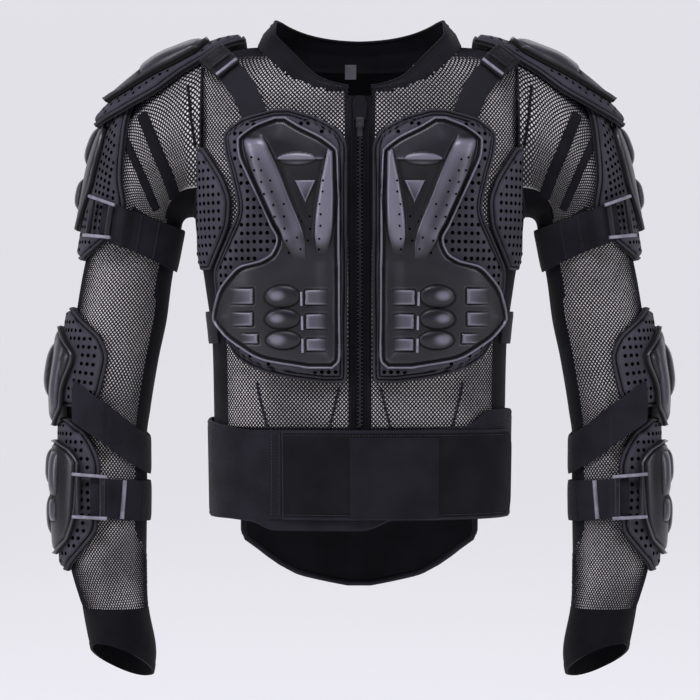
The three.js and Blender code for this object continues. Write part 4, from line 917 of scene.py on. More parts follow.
def set_out(name, shape, spots, facing, along, size, finish, both=True):
    """Stands one small shape at every spot, on both sides of the jacket."""
    if both:
        flip = np.array([-1, 1, 1])
        spots, facing, along = (np.concatenate([a, a * flip]) for a in (spots, facing, along))
    mesh = bpy.data.meshes.new(name)
    mesh.vertices.add(len(spots))
    mesh.vertices.foreach_set("co", (spots * MM).ravel())
    for key, values in (("facing", facing), ("along", along)):
        ways = mesh.attributes.new(key, "FLOAT_VECTOR", "POINT")
        ways.data.foreach_set("vector", values.astype(np.float32).ravel())
    piece = bpy.data.objects.new(name, mesh)
    bpy.context.scene.collection.objects.link(piece)
    tree = REPEATS[shape]
    modifier = piece.modifiers.new("repeat", "NODES")
    modifier.node_group = tree
    values = dict(zip(("Length", "Width", "Rise"), (s * MM for s in size)), Finish=finish)
    for socket in tree.interface.items_tree:
        if socket.in_out == "INPUT" and socket.name in values:
            modifier[socket.identifier] = values[socket.name]
    bpy.context.view_layer.update()
    plain = bpy.data.meshes.new_from_object(piece.evaluated_get(bpy.context.evaluated_depsgraph_get()))
    piece.modifiers.remove(modifier)
    piece.data = plain
    plain.name = name
    return settled(piece)


# Sets out near-black discs of painted shadow where the perforations are.
def punch(name, spots, facing, width, slot, both=True):
    along = unit(np.cross(facing, [0.0, 1.0, 0.3]))
    set_out(name, "hole", spots, facing, along, (width, width, 1), HOLE_SHADOW, both)


def tube(path, radius, closed=True, sides=8, up=None):
    """A round cord along a line of points."""
    path = np.asarray(path, float)
    ahead = unit(np.roll(path, -1, 0) - np.roll(path, 1, 0)) if closed else unit(np.gradient(path, axis=0))
    up = np.broadcast_to(np.array([0.0, 0.31, 0.95]) if up is None else up, path.shape)
    side = unit(np.cross(ahead, up))
    rise = np.cross(side, ahead)
    turn = np.linspace(0, 2 * math.pi, sides, endpoint=False)
    ring = side[:, None] * np.cos(turn)[:, None] + rise[:, None] * np.sin(turn)[:, None]
    points = path[:, None] + ring * radius
    flat = np.stack(np.broadcast_arrays(turn[None] * radius, lengths_along(path[:, None], 0)), -1)
    faces = grid_faces(len(path), sides, closed_rows=closed, closed_columns=True)
    if not closed:
        step = np.arange(sides // 2 - 1)
        cap = np.stack([step, step + 1, sides - 2 - step, sides - 1 - step], -1)
        faces = np.concatenate([faces, cap[:, ::-1], cap + (len(path) - 1) * sides])
    return Form(points, faces, flat).facing_out()


def stitches_along(path, normals, pitch):
    """Even spots along a line of points, with the way each faces and runs."""
    travel = lengths_along(path[:, None], 0)[:, 0]
    where = np.arange(pitch / 2, travel[-1], pitch)

    def pick(values):
        return np.stack([np.interp(where, travel, values[:, k]) for k in range(3)], -1)

    return pick(path), unit(pick(normals)), unit(pick(np.gradient(path, axis=0)))


def block(length, width, rise, bevel):
    """A box with rounded edges round the origin, standing on z = 0."""
    made = bmesh.new()
    bmesh.ops.create_cube(made, size=1.0)
    bmesh.ops.scale(made, vec=(length, width, rise), verts=made.verts)
    bmesh.ops.translate(made, vec=(0, 0, rise / 2), verts=made.verts)
    bmesh.ops.bevel(made, geom=made.edges[:], offset=bevel, segments=2, affect="EDGES", profile=0.5)
    points = [v.co[:] for v in made.verts]
    faces = [[v.index for v in f.verts] for f in made.faces]
    made.free()
    quads = [f if len(f) == 4 else f + [f[-1]] for f in faces]
    return Form(points, quads)


def standing(form, spot, facing, along):
    """Turns a form made round the origin to stand at a spot."""
    facing, along = unit(facing), unit(along)
    side = unit(np.cross(facing, along))
    along = np.cross(side, facing)
    turned = form.points @ np.stack([along, side, facing])
    return Form(turned + spot, form.faces, form.points[:, :2], form.finish)


def band_on(surface, stations, across, width, base, thick, rows=5):
    """A flat tape over a surface along a line of stations."""
    t = np.linspace(0, 1, len(stations))
    fine = np.linspace(0, 1, len(stations) * 10)
    line = np.interp(fine, t, stations), np.interp(fine, t, across)
    centre = surface(*line, base)
    kernel = np.ones(9) / 9
    padded_line = np.concatenate([np.repeat(centre[:1], 4, 0), centre, np.repeat(centre[-1:], 4, 0)])
    centre = np.stack([np.convolve(padded_line[:, k], kernel, "valid") for k in range(3)], -1)
    normal = unit(surface(*line, base + 5) - surface(*line, base))
    side = unit(np.cross(np.gradient(centre, axis=0), normal))
    share = np.linspace(-1, 1, rows)
    grid = centre[:, None] + side[:, None] * (share * width / 2)[None, :, None]
    dome = (1 - share ** 4)[None, :, None] * thick * 0.6
    top = grid + normal[:, None] * (thick * 0.4 + dome)
    return slab(top, grid - normal[:, None] * 0.3)


# Net: knitted ground, with a diamond net of strands over it
def even_spread(surface, station, count, samples):
    """Places round a surface that share its girth at a station evenly."""
    places = np.linspace(0, 360, samples)
    arc = lengths_along(surface(np.full(samples, station), places), 0)
    return np.interp(np.arange(count) / count * arc[-1], arc, places)


def diamond_net(surface, stations, girth, samples, keep):
    """Strands round diamond holes, in the cells that are to be kept."""
    count = 2 * int(round(girth / NET_DIAGONAL))
    station = np.repeat(stations[:, None], count, 1)
    across = np.array([even_spread(surface, s, count, samples) for s in stations])
    skin = surface(station, across, 0.0)
    outward = unit(surface(station, across, 1.0) - skin)
    row, column = np.meshgrid(np.arange(1, len(stations) - 1), np.arange(count), indexing="ij")
    wanted = ((row + column) % 2 == 0) & keep(station, across, skin)[1:-1]
    row, column = row[wanted], column[wanted]
    corners = [(row, (column - 1) % count), (row - 1, column), (row, (column + 1) % count), (row + 1, column)]
    centre, lift = skin[row, column], outward[row, column]
    around = np.stack([skin[c] for c in corners], 1)
    ridge = around + np.stack([outward[c] for c in corners], 1) * NET_RIDGE
    sunk = centre[:, None] + (around - centre[:, None]) * NET_HOLE - lift[:, None] * NET_SINK
    points = np.concatenate([ridge, sunk], 1)
    start = (np.arange(len(centre)) * 8)[:, None, None]
    turn = [(0, 1, 5, 4), (1, 2, 6, 5), (2, 3, 7, 6), (3, 0, 4, 7)]
    faces = (start + np.array(turn)[None]).reshape(-1, 4)
    form = Form(points, faces)
    a, b, c = (form.points[form.faces[0, k]] for k in range(3))
    if np.dot(np.cross(b - a, c - b), lift[0]) < 0:
        form.faces = form.faces[:, ::-1]
    return form


def inside_arm(p, spare=0.0):
    """Where a point of the body lies within the sleeve's armhole."""
    p = np.abs(p * [1, 0, 0]) + p * [0, 1, 1]
    at = np.linspace(-0.02, 0.1, 13)
    inner, outer = arm_point(at, 180.0), arm_point(at, 0.0)
    axis = (inner + outer) / 2
    nearest = ((p[..., None, :] - axis) ** 2).sum(-1).argmin(-1)
    half = np.linalg.norm(outer - inner, axis=-1)[nearest] / 2 - spare
    depth = SLEEVE_DEPTH / 2 * ARM("depth", at)[nearest] - spare
    offset = p - axis[nearest]
    along = unit(outer - inner)[nearest]
    across = (offset * along).sum(-1)
    beyond = p[..., 0] > CHEST_HALF * 0.72
    return beyond & ((across / half) ** 2 + (offset[..., 1] / depth) ** 2 < 1)


def inside_neck(p, spare=0.0):
    depth = np.where(p[..., 1] < 0, NECK_FRONT, NECK_BACK) + spare
    level = ((np.abs(p[..., 0]) / (NECK_HALF + spare)) ** NECK_SQUARE
             + (np.abs(p[..., 1]) / depth) ** NECK_SQUARE)
    return (level < 1) & (p[..., 2] > -FRONT_DEPTH)


def body_panel(z, turn):
    """The smooth stretch panels down the sides of the body."""
    side = np.abs(((turn + 180) % 360) - 180)
    low = smooth((-z - PANEL_TOP - 2) / PANEL_FADE)
    return (np.abs(side - 90) < PANEL_HALF * low) & (z < -PANEL_TOP)


def body_net_keep(z, turn, p):
    turn180 = ((turn + 180) % 360) - 180
    hidden = np.zeros(z.shape, bool)
    for guard in (chest_pad, rib_pad):
        for side in (1, -1):
            hidden |= guard.covers(z, side * turn180, 0.07)
    hidden |= back_pad.covers(z, turn % 360, 0.04)
    hidden |= (z < -BELT_TOP - 22) | body_panel(z, turn) | inside_arm(p, 8.5) | inside_neck(p, -2.5)
    hidden |= (np.abs(p[..., 0]) < 12.0) & (p[..., 1] < 0)
    return ~hidden


def sleeve_panel(at, angle):
    """The smooth panel along the inner side of the sleeve, and the one under the elbow's elastic."""
    inner = np.abs(angle % 360 - 180)
    width = mix(46, 40, smooth((at - 0.3) / 0.3))
    width = np.where(at > 0.86, mix(40, 12, smooth((at - 0.86) / 0.06)), width)
    armpit = np.where(at < 0.4, mix(50, 46, smooth((at - 0.06) / 0.26)), width)
    return inner < np.maximum(width * (at >= 0.28), armpit * (at < 0.4))


def sleeve_net_keep(at, angle, p):
    angle180 = ((angle + 180) % 360) - 180
    hidden = sleeve_panel(at, angle) | (at > 1.0)
    for guard in (arm_pad, elbow_pad, forearm_pad):
        hidden |= guard.covers(at, angle180, 0.08)
    hidden |= body_level(p) < 0.9
    return ~hidden


def ground(surface, stations, columns, down, gone, panel):
    """The knitted wall over a surface, less what is gone, with its smooth panels, flat size and area."""
    grid_at, grid_across = np.meshgrid(stations, np.linspace(0, 360, columns, endpoint=False), indexing="ij")
    outer = surface(grid_at, grid_across, GROUND_OUT)
    inner = surface(grid_at, grid_across, -NET_WALL)
    flat = np.stack([lengths_along(outer, 1), grid_at * down], -1)
    faces = grid_faces(len(stations), columns, closed_columns=True)
    faces = faces[~gone(outer.reshape(-1, 3)[faces].mean(1))]
    smooth_part = panel(grid_at.ravel()[faces].mean(1), grid_across.ravel()[faces[:, 0]])
    a, b, c, d = (outer.reshape(-1, 3)[faces[:, k]] for k in range(4))
    centre = (a + b + c + d) / 4
    if (np.cross(b - a, c - b) * (centre - centre.mean(0)) * [1, 1, 0]).sum() < 0:
        faces = faces[:, ::-1]
    size = cut_size(outer)
    area = min(area_of(outer, faces), size[0] * size[1])
    return cloth(outer, inner, faces, flat, np.where(smooth_part, 1, 0)), size, area


def body_gone(p):
    return inside_neck(p, -1) | inside_arm(p, 9.0) | ((np.abs(p[:, 0]) < 11) & (p[:, 1] < 0))


form, size, area = ground(on_body, np.linspace(BODY_START, -BODY_DROP, 110), 180, -1, body_gone,
                          lambda z, turn: body_panel(z, turn + 1) | (z < -BELT_TOP - 10))
body_cloth = make_piece("body_ground", [form], [NET_GROUND, PANEL, INSIDE_CLOTH], ["body_net"])
body_rows = np.arange(BODY_DROP * 0.025, -BELT_TOP - 30, -NET_DIAGONAL / 2)
net = diamond_net(on_body, body_rows, GIRTH, 721, body_net_keep)
make_piece("body_strands", [net], [NET_STRANDS], smooth_angle=0)
sleeve_rows = np.arange(SLEEVE_START - 0.003, 1.008, NET_DIAGONAL / 2 / SLEEVE_LENGTH)
net = diamond_net(on_arm, sleeve_rows, SLEEVE_GIRTH, 361, sleeve_net_keep)
make_pair("sleeve_strands", [net], [NET_STRANDS], extra=True, smooth_angle=0)
form, size, area = ground(on_arm, np.linspace(SLEEVE_START, 1.0, 152), 96, SLEEVE_CUT,
                          lambda p: body_level(p) < 0.88, lambda at, angle: sleeve_panel(at, angle + 2))
for sleeve in make_pair("sleeve_net", [form], [NET_GROUND, PANEL, INSIDE_CLOTH]):
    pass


# Tape along the shoulder line, which closes the net between its front and back
ridge_x, v = np.meshgrid(np.linspace(0.6, 0.985, 30) * on_body(BODY_START, 90.0)[0], np.linspace(0, 1, 9),
                         indexing="ij")
ridge_z = np.full(ridge_x.shape, BODY_START)
ridge_turns = [turn_at(ridge_x, ridge_z, back) for back in (False, True)]
ridge_front, ridge_back = (on_body(ridge_z, turn)[..., 1] for turn in ridge_turns)
ridge = np.stack([ridge_x, mix(ridge_front, ridge_back, v), ridge_z + 1.4 * (1 - (2 * v - 1) ** 2) - 0.4], -1)
make_pair("shoulder_tape", [slab(ridge, ridge - [0, 0, 1.2])], [PANEL], extra=True)


# Pads: foam under a perforated cover. Each has its base, its bound edge, the margin round its holes
# and the plate that the holes keep clear of.
PADS = (
    ("chest_pad", chest_pad, GAP, PIPED_EDGE, 10.5, chest_plate),
    ("rib_pad", rib_pad, RIB_STAND, NARROW_EDGE, 6.5, None),
    ("arm_pad", arm_pad, GAP, NARROW_EDGE, 7.5, arm_plate),
    ("elbow_pad", elbow_pad, GAP, NARROW_EDGE, 7.5, elbow_plate),
    ("forearm_pad", forearm_pad, GAP, NARROW_EDGE, 7.5, forearm_plate),
    ("shoulder_pad", shoulder_pad, GAP, NARROW_EDGE, 7.5, shoulder_plate),
)
for name, pad, base, rim_shape, _, _ in PADS:
    make_pair(name, [pad.solid(base, FOAM, rim_shape)], [FOAM_COVER])
back_form = back_pad.solid(GAP, BACK_WALL, PIPED_EDGE)
half = len(back_form.points) // 2
back_form.finish = np.where((back_form.faces >= half).all(1), 1, 0)
make_piece("back_pad_made", [back_form], [FOAM_COVER, TONGUE_LINING], ["back_pad"])
rim_z = back_pad.rim[:, 2]
rim = back_pad.rim + unit(on_body(rim_z, 180.0, 10.0) - on_body(rim_z, 180.0, 0.0))
make_piece("back_pad_binding", [tube(rim[::2], 3.4, up=[0, 1.0, 0.0])], [BINDING])


# Hard plates
DOMES = Table("down across tall", [[0.71, 0.56, 24.0], [0.8, 0.56, 22.0], [0.885, 0.552, 20.0]])
TILES = Table("down across wide tall", [
    [0.708, 0.85, 25, 18], [0.8, 0.85, 24, 16], [0.88, 0.8, 20, 12],
    [0.715, 0.315, 25, 17], [0.812, 0.315, 23, 17], [0.905, 0.315, 22, 14],
])
RAILS = Table("down across half rise", [
    [0.06, 0.78, 10, 0.0], [0.11, 0.75, 13, 1.0], [0.22, 0.68, 15.5, 1.0], [0.33, 0.605, 16, 1.0],
    [0.44, 0.515, 14.5, 0.9], [0.5, 0.47, 11, 0.5], [0.56, 0.43, 6, 0.0],
])
INNER_RAILS = Table("down across half rise", [
    [0.1, 0.195, 5, 0.0], [0.16, 0.2, 7.5, 0.9], [0.26, 0.22, 10, 1.0], [0.37, 0.245, 11, 1.0],
    [0.46, 0.265, 9.5, 0.8], [0.54, 0.275, 5, 0.0],
])


def chest_relief(v, u, low, inset):
    """Bands, recess, domes and brackets moulded into the chest plate."""
    down = (-low[..., 2] - PLATE_TOP) / PLATE_HEIGHT
    across = low[..., 0]
    along = down * PLATE_HEIGHT
    rise = np.zeros(v.shape)
    for rail in (RAILS, INNER_RAILS):
        offset = (across - rail("across", down) * PLATE_WIDTH) / rail("half", down)
        bump = np.clip(1 - np.abs(offset) ** 2.4, 0, 1) ** 0.7
        groove = np.exp(-((np.abs(offset) - 1.04) / 0.08) ** 2)
        rise += (RAIL_RISE * bump * smooth((inset - 4) / 6) - groove) * rail("rise", down)
    left_edge = RAILS("across", down) * PLATE_WIDTH - RAILS("half", down)
    right_edge = INNER_RAILS("across", down) * PLATE_WIDTH + INNER_RAILS("half", down)
    between = smooth((left_edge - across) / 3) * smooth((across - right_edge) / 3)
    recess = between * smooth((down - 0.16) / 0.01) * (1 - smooth((down - 0.42) / 0.1))
    rise -= 2.0 * recess
    lip = 1 - ((across - 0.46 * PLATE_WIDTH) / 20) ** 2 - ((along - 0.162 * PLATE_HEIGHT) / 6.5) ** 2
    rise += 2.4 * np.clip(lip, 0, 1) ** 0.5
    wedge_half = 12.5 * (1 - (down - 0.245) / 0.1)
    wedge = smooth((wedge_half - np.abs(across - 0.395 * PLATE_WIDTH)) / 2) * smooth((down - 0.245) / 0.006)
    rise += 2.6 * wedge * (1 - smooth((down - 0.25) / 0.1) * 0.6) * (down < 0.345)
    for k in range(3):
        r = (((across - DOMES["across"][k] * PLATE_WIDTH) / (DOME_WIDTH / 2)) ** 2
             + ((along - DOMES["down"][k] * PLATE_HEIGHT) / (DOMES["tall"][k] / 2)) ** 2)
        rise += DOME_RISE * np.sqrt(np.clip(1 - r, 0, 1)) - 0.8 * np.exp(-((np.sqrt(r) - 1.04) / 0.05) ** 2)
    for k in range(len(TILES["down"])):
        inner_side = TILES["across"][k] > 0.5
        x = across - TILES["across"][k] * PLATE_WIDTH
        y = along - TILES["down"][k] * PLATE_HEIGHT
        half_wide, half_tall = TILES["wide"][k] / 2, TILES["tall"][k] / 2
        face = smooth((half_wide - np.abs(x)) / 1.6) * smooth((half_tall - np.abs(y)) / 1.6)
        closed_edge = -half_wide if inner_side else half_wide
        slope = np.clip((half_wide - x if inner_side else half_wide + x) / (2 * half_wide), 0, 1)
        rise += face * 1.7 * slope
        line = np.minimum(np.abs(np.abs(y) - half_tall) + 40 * (np.abs(x) > half_wide),
                          np.abs(x - closed_edge) + 40 * (np.abs(y) > half_tall))
        rise -= 1.1 * np.exp(-(line / 0.9) ** 2) * (0.35 + 0.65 * slope)
    return rise + 1.6 * smooth(inset / 26)


def dome_shade(low):
    """Painted shade over the domes, but for a soft painted highlight at their outer upper side."""
    down = (-low[..., 2] - PLATE_TOP) / PLATE_HEIGHT
    shade = np.zeros(down.shape)
    for k in range(3):
        x = low[..., 0] - DOMES["across"][k] * PLATE_WIDTH
        z = (down - DOMES["down"][k]) * PLATE_HEIGHT
        level = (x / (DOME_WIDTH / 2)) ** 2 + (z / (DOMES["tall"][k] / 2)) ** 2
        light = np.exp(-((x - 6) / 9) ** 2 - ((z + 1) / 6.5) ** 2)
        shade += 0.34 * smooth((1 - level) / 0.15) * (1 - light)
    return shade


def make_plate(name, guard, base, relief, plastic, thick=PLATE, coarse=1.6, band=6, **more):
    form = guard.solid(base, thick, PLATE_EDGE, coarse=coarse, band=band, relief=relief, **more)
    make_pair(name, [form], [plastic], smooth_angle=HARD_ANGLE)


# The chest plate's domes get painted shade, with a painted highlight at their outer upper side.
make_plate("chest_plate", chest_plate, OVER_CHEST, chest_relief, PLASTIC, coarse=1.15, band=8, fine=1.0,
           dulled=dome_shade)


# Pale bars at the outer ends of the brackets near the zip
bar_z = -PLATE_TOP - PLATE_HEIGHT * TILES["down"][3:]
bar_x = PLATE_WIDTH * TILES["across"][3:] + TILES["wide"][3:] / 2 + 1.0
bar_turn = turn_at(bar_x, bar_z)
bar_spots = on_body(bar_z, bar_turn, OVER_CHEST + PLATE + 1.9)
set_out("chest_plate_bars", "block", bar_spots, unit(on_body(bar_z, bar_turn, 40.0) - bar_spots),
        np.tile([0.0, 0.0, 1.0], (3, 1)), (15.0, 2.2, 1.6), LIGHT_BAR)


def fin(v, angle, start, end, middle, half, rise):
    """A raised fin that runs along a guard."""
    along = np.clip((v - start) / (end - start), 0, 1)
    shape = np.clip(1 - np.abs(2 * along - 1) ** 3, 0, 1) ** 0.7
    return rise * shape * np.clip(1 - ((angle - middle) / half) ** 2, 0, 1) ** 0.6


def guard_relief(guard, fins, crown):
    def relief(v, u, low, inset):
        share = mix(guard.share[0], guard.share[1], v)
        first, last = guard.edges(share, share)
        angle = mix(first, last, u)
        rise = crown * smooth(inset / 16)
        for start, end, middle, half, height in fins:
            rise = rise + fin(share, angle, start, end, middle, half, FIN_RISE * height)
        return rise
    return relief


ARM_FINS = [(0.22, 0.44, -6, 11, 0.95), (0.52, 0.7, -6, 9, 0.95)]
ELBOW_FINS = [(0.38, 0.9, -6, 13, 0.95), (0.3, 1.1, 28, 9, 0.28)]
FOREARM_FINS = [(0.22, 0.48, -8, 10, 0.95), (0.24, 0.54, 24, 10, 0.6), (0.54, 0.78, -8, 10, 0.75),
                (0.56, 0.7, 22, 9, 0.4)]
for name, guard, base, fins, crown in (
        ("arm_plate", arm_plate, OVER_PAD, ARM_FINS, 1.2),
        ("elbow_plate", elbow_plate, OVER_PAD + SEAM, ELBOW_FINS, 3.0),
        ("forearm_plate", forearm_plate, OVER_PAD, FOREARM_FINS, 1.2)):
    make_plate(name, guard, base, guard_relief(guard, fins, crown), GUARD_PLASTIC)


def cap_relief(v, u, low, inset):
    """The cap's high part, and the lower tier towards the arm."""
    tier = smooth((v - 0.6) / 0.04) * -2.6
    ridge = 1.6 * np.exp(-((u - 0.5) / 0.12) ** 2) * (v < 0.6)
    dome = 3.6 * np.exp(-((v - 0.42) / 0.22) ** 2) * smooth(inset / 22) - 3.6 * (1 - smooth(v / 0.2))
    return 1.6 * smooth(inset / 10) + tier * smooth(inset / 4) + ridge * smooth(inset / 8) + dome


make_plate("shoulder_plate", shoulder_plate, OVER_PAD, cap_relief, CAP_PLASTIC, PLATE * 1.5, coarse=1.8)

for name, pad, _, _, margin, plate in PADS:
    punch(f"{name}_holes", *pad.holes(0.0, margin, plate), PERFORATION_WIDTH, "foam")
punch("back_pad_holes", *back_pad.holes(180.0, 16.0, None), PERFORATION_WIDTH, "foam", both=False)

# Small moulded holes on the bands of the chest plate: down and across, picture points of its left half.
BAND_HOLES = np.array([
    (258.1, 159.8), (264.8, 161.7), (260.4, 172.3), (267.1, 172.6), (267.1, 183.7), (275.3, 182.6),
    (269.6, 195.4), (276.8, 193.5), (278.2, 206.3), (287.7, 205.4), (279.3, 217.6), (288.1, 217.4),
    (288.5, 228.5), (290.2, 240.0), (292.1, 251.7), (322.8, 173.8), (323.7, 182.8), (323.5, 193.5),
    (320.8, 205.7), (321.8, 215.5), (321.6, 226.2), (320.5, 238.3), (320.1, 248.4),
    (300.5, 217.5), (311.5, 229), (303, 222), (300, 237), (309.5, 240), (303, 248), (311, 217),
])
spot_z, spot_turn = body_spot(2 * MIDDLE_POINT - BAND_HOLES[:, 0], BAND_HOLES[:, 1])


def plate_skin(z, turn):
    """Points on the plate's finished face, relief and all, and the way they face."""
    low = on_body(z, turn, OVER_CHEST)
    rise = PLATE + chest_relief(z, z, low, np.full(z.shape, 30.0))
    spot = on_body(z, turn, OVER_CHEST + rise + HOLE_LIFT + 0.03)
    return spot, unit(on_body(z, turn, OVER_PAD + 30.0) - spot)


punch("chest_plate_holes", *plate_skin(spot_z, spot_turn), PLATE_HOLE_WIDTH, "plastic")


# Straps of the arms: over the foam, down to the sleeve and round it
def strap_base(angle, front):
    """Share of the way from the sleeve up to the pad's face, past the pad's front edge."""
    return 1 - smooth((angle - front) / 11)


def arm_strap(at, slant, width, start, front, back):
    low = 360 + back
    angle = np.arange(start, low + 11.5, 2.0)
    on_back = smooth((angle - low + 11) / 11)
    base = STRAP_GAP + (OVER_PAD - STRAP_GAP) * np.maximum(strap_base(angle, front), on_back)
    middle = at - slant / 2 * np.cos(angle * RAD)
    half = width / 2 / arm_scale(middle, angle)
    share = np.linspace(-1, 1, 13)
    grid_at = middle[:, None] + half[:, None] * share
    grid_angle = np.broadcast_to(angle[:, None], grid_at.shape)
    grid_base = np.broadcast_to(base[:, None], grid_at.shape)
    crown = ELASTIC * (0.55 + 0.45 * (1 - share ** 6))
    return slab(on_arm(grid_at, grid_angle, grid_base + crown), on_arm(grid_at, grid_angle, grid_base))


# Station, slant, width, and the angles at which each strap starts and leaves the pad's front and back
STRAPS = {
    "arm": (0.315, 0.05, 45.0, 58.0, 81.0, -88.0),
    "elbow": (0.668, 0.12, 44.0, 55.0, 90.0, -95.0),
    "forearm": (0.808, 0.0, 44.0, 77.0, 89.0, -93.0),
}
for limb, sizes in STRAPS.items():
    make_pair(f"{limb}_strap", [arm_strap(*sizes)], [ARM_ELASTIC])


def strap_bar(limb, angle, width, rise, lean=0.0):
    """A bar or bound seam across an arm strap."""
    at, slant, strap_width, _, front, _ = STRAPS[limb]
    over = STRAP_GAP + (OVER_PAD - STRAP_GAP) * float(strap_base(angle, front)) + ELASTIC
    share = np.linspace(-1, 1, 9)
    middle = at - slant / 2 * math.cos(angle * RAD)
    half = strap_width / 2 / float(arm_scale(middle, angle))
    return band_on(on_arm, middle + half * share * 0.99, angle + lean * share, width, over - 0.2, rise)


seams = [strap_bar("arm", 99, 3.4, 1.6), strap_bar("arm", 121, 2.2, 1.4)]
make_pair("arm_strap_seams", seams, [BINDING], extra=True)
bracket, seam = strap_bar("forearm", 116, 4.6, 2.4, -2.0), strap_bar("forearm", 148, 2.2, 1.4, -2.0)
make_pair("forearm_strap_bracket", [bracket], [LIGHT_BAR], extra=True)
make_pair("forearm_strap_seam", [seam], [BINDING], extra=True)


# Slotted loops: a frame round a slot, with pale bars at both ends
def strap_loop(at, angle, length, width, base):
    half_at = length / 2 / float(arm_scale(at))
    per_degree = np.linalg.norm(arm_point(at, angle + 5) - arm_point(at, angle - 5)) / 10
    half_turn = width / 2 / per_degree
    rings = []
    for inset, rise in ((0.6, 0.3), (0.0, 1.2), (0.3, 3.4), (1.4, 4.4), (3.4, 4.4), (LOOP_BAR - 0.3, 3.4),
                        (LOOP_BAR, 1.0), (LOOP_BAR - 0.4, 0.3)):
        points = []
        for side, (ahead, aside) in enumerate(((1, 1), (-1, 1), (-1, -1), (1, -1))):
            sweep = np.linspace(0, 90, 7) + side * 90
            round_off = max(5.0 - inset, 1.2)
            a = ahead * (length / 2 - inset - round_off) + np.cos(sweep * RAD) * round_off
            b = aside * (width / 2 - inset - round_off) + np.sin(sweep * RAD) * round_off
            points += list(zip(a, b))
        a, b = np.array(points).T
        stations, angles = at + a / (length / 2) * half_at, angle + b / (width / 2) * half_turn
        rings.append(on_arm(stations, angles, base + rise))
    grid = np.stack(rings, 1)
    faces = grid_faces(*grid.shape[:2], closed_rows=True, closed_columns=True)
    parts = [Form(grid, faces).facing_out()]
    for end in (-1, 1):
        angles = angle + np.linspace(-1.12, 1.12, 9) * half_turn
        path = on_arm(at + end * half_at * (1 - LOOP_BAR / length), angles, base + 4.3)
        parts.append(tube(path, 1.9, closed=False, sides=10).with_finish(1))
    return parts


for limb, at, angle, length in (("arm", 0.302, 58.0, 53.0), ("forearm", 0.808, 77.0, 52.0)):
    loop = strap_loop(at, angle, length, LOOP_LENGTH, OVER_STRAP)
    make_pair(f"{limb}_loop", loop, [PLASTIC, LIGHT_BAR])


# Shoulder strap with its buckle, and the side straps
def strap_line(share):
    share = np.asarray(share, float)
    start = np.stack([CHEST_HALF * STRAP_ROUTE("out", share), -FRONT_DEPTH * STRAP_ROUTE("forward", share),
                      -BODY_DROP * STRAP_ROUTE("down", share)], -1)
    return seat_on_body(start, np.zeros(share.shape))


def strap_place(share, u, out):
    share, u, out = np.broadcast_arrays(np.asarray(share, float), u, out)
    at = strap_line(share)
    ahead = unit(strap_line(share + 0.03) - strap_line(share - 0.03))
    side = unit(np.cross(unit(body_slope(at)), ahead))
    return seat_on_body(at + side * (u * SHOULDER_WEB / 2)[..., None], out)


share, u = np.meshgrid(np.linspace(0, 1, 50), np.linspace(-1, 1, 9), indexing="ij")
strap = slab(strap_place(share, u, STRAP_GAP + WEBBING * (0.6 + 0.4 * (1 - u ** 6))),
             strap_place(share, u, STRAP_GAP - SEAM))
make_pair("shoulder_strap", [strap], [STRAP_WEB])

buckle_base = STRAP_GAP + WEBBING + 0.2
buckle_spot = strap_place(BUCKLE_AT, 0, buckle_base)
buckle_along = unit(strap_place(BUCKLE_AT + 0.12, 0, buckle_base)
                    - strap_place(BUCKLE_AT - 0.12, 0, buckle_base))
buckle_side = strap_place(BUCKLE_AT, 1, buckle_base) - strap_place(BUCKLE_AT, -1, buckle_base)
buckle_facing = unit(np.cross(buckle_along, unit(buckle_side)))
buckle_facing = buckle_facing * np.sign(buckle_facing[2])


def buckle_part(length, width, rise, bevel, along, side=0.0, up=0.0, finish=0):
    part = block(length, width, rise, bevel)
    part.points = part.points + [along, side, up]
    return standing(part, buckle_spot, buckle_facing, buckle_along).with_finish(finish)


# Length, width, rise and bevel of each block of the buckle, and its place along, aside and up
BUCKLE_PARTS = (
    (26, 32, 7.0, 1.6, -8.0), (20, 21, 8.6, 1.8, -4.0), (14, 24, 5.4, 1.4, 11.0),
    (16, 5.5, 6.2, 1.4, 9.0, 13.0), (16, 5.5, 6.2, 1.4, 9.0, -13.0), (5, 31, 5.4, 1.6, 18.0),
    (3.4, 29, 2.4, 0.8, 18.4, 0, 4.6, 1), (4, 31, 7.6, 1.4, -18.6), (9, 11, 9.0, 1.8, -4.0),
)
buckle = [buckle_part(*sizes) for sizes in BUCKLE_PARTS]
make_pair("shoulder_buckle", buckle, [CAP_PLASTIC, LIGHT_BAR])

side_start = float(turn_at(PAD_WIDTH * 0.97, -SIDE_DROP))
side_end = float(turn_at(BACK_HALF * 0.94, -SIDE_DROP, True))
turn_grid, u = np.meshgrid(np.linspace(side_start, side_end, 60), np.linspace(-0.5, 0.5, 11), indexing="ij")
crown = WEBBING * (0.6 + 0.4 * (1 - (2 * u) ** 6))
side_z = -SIDE_DROP + SIDE_WIDTH * u
strap = slab(on_body(side_z, turn_grid, STRAP_GAP + crown), on_body(side_z, turn_grid, STRAP_GAP - SEAM))
make_pair("side_strap", [strap], [STRAP_WEB])


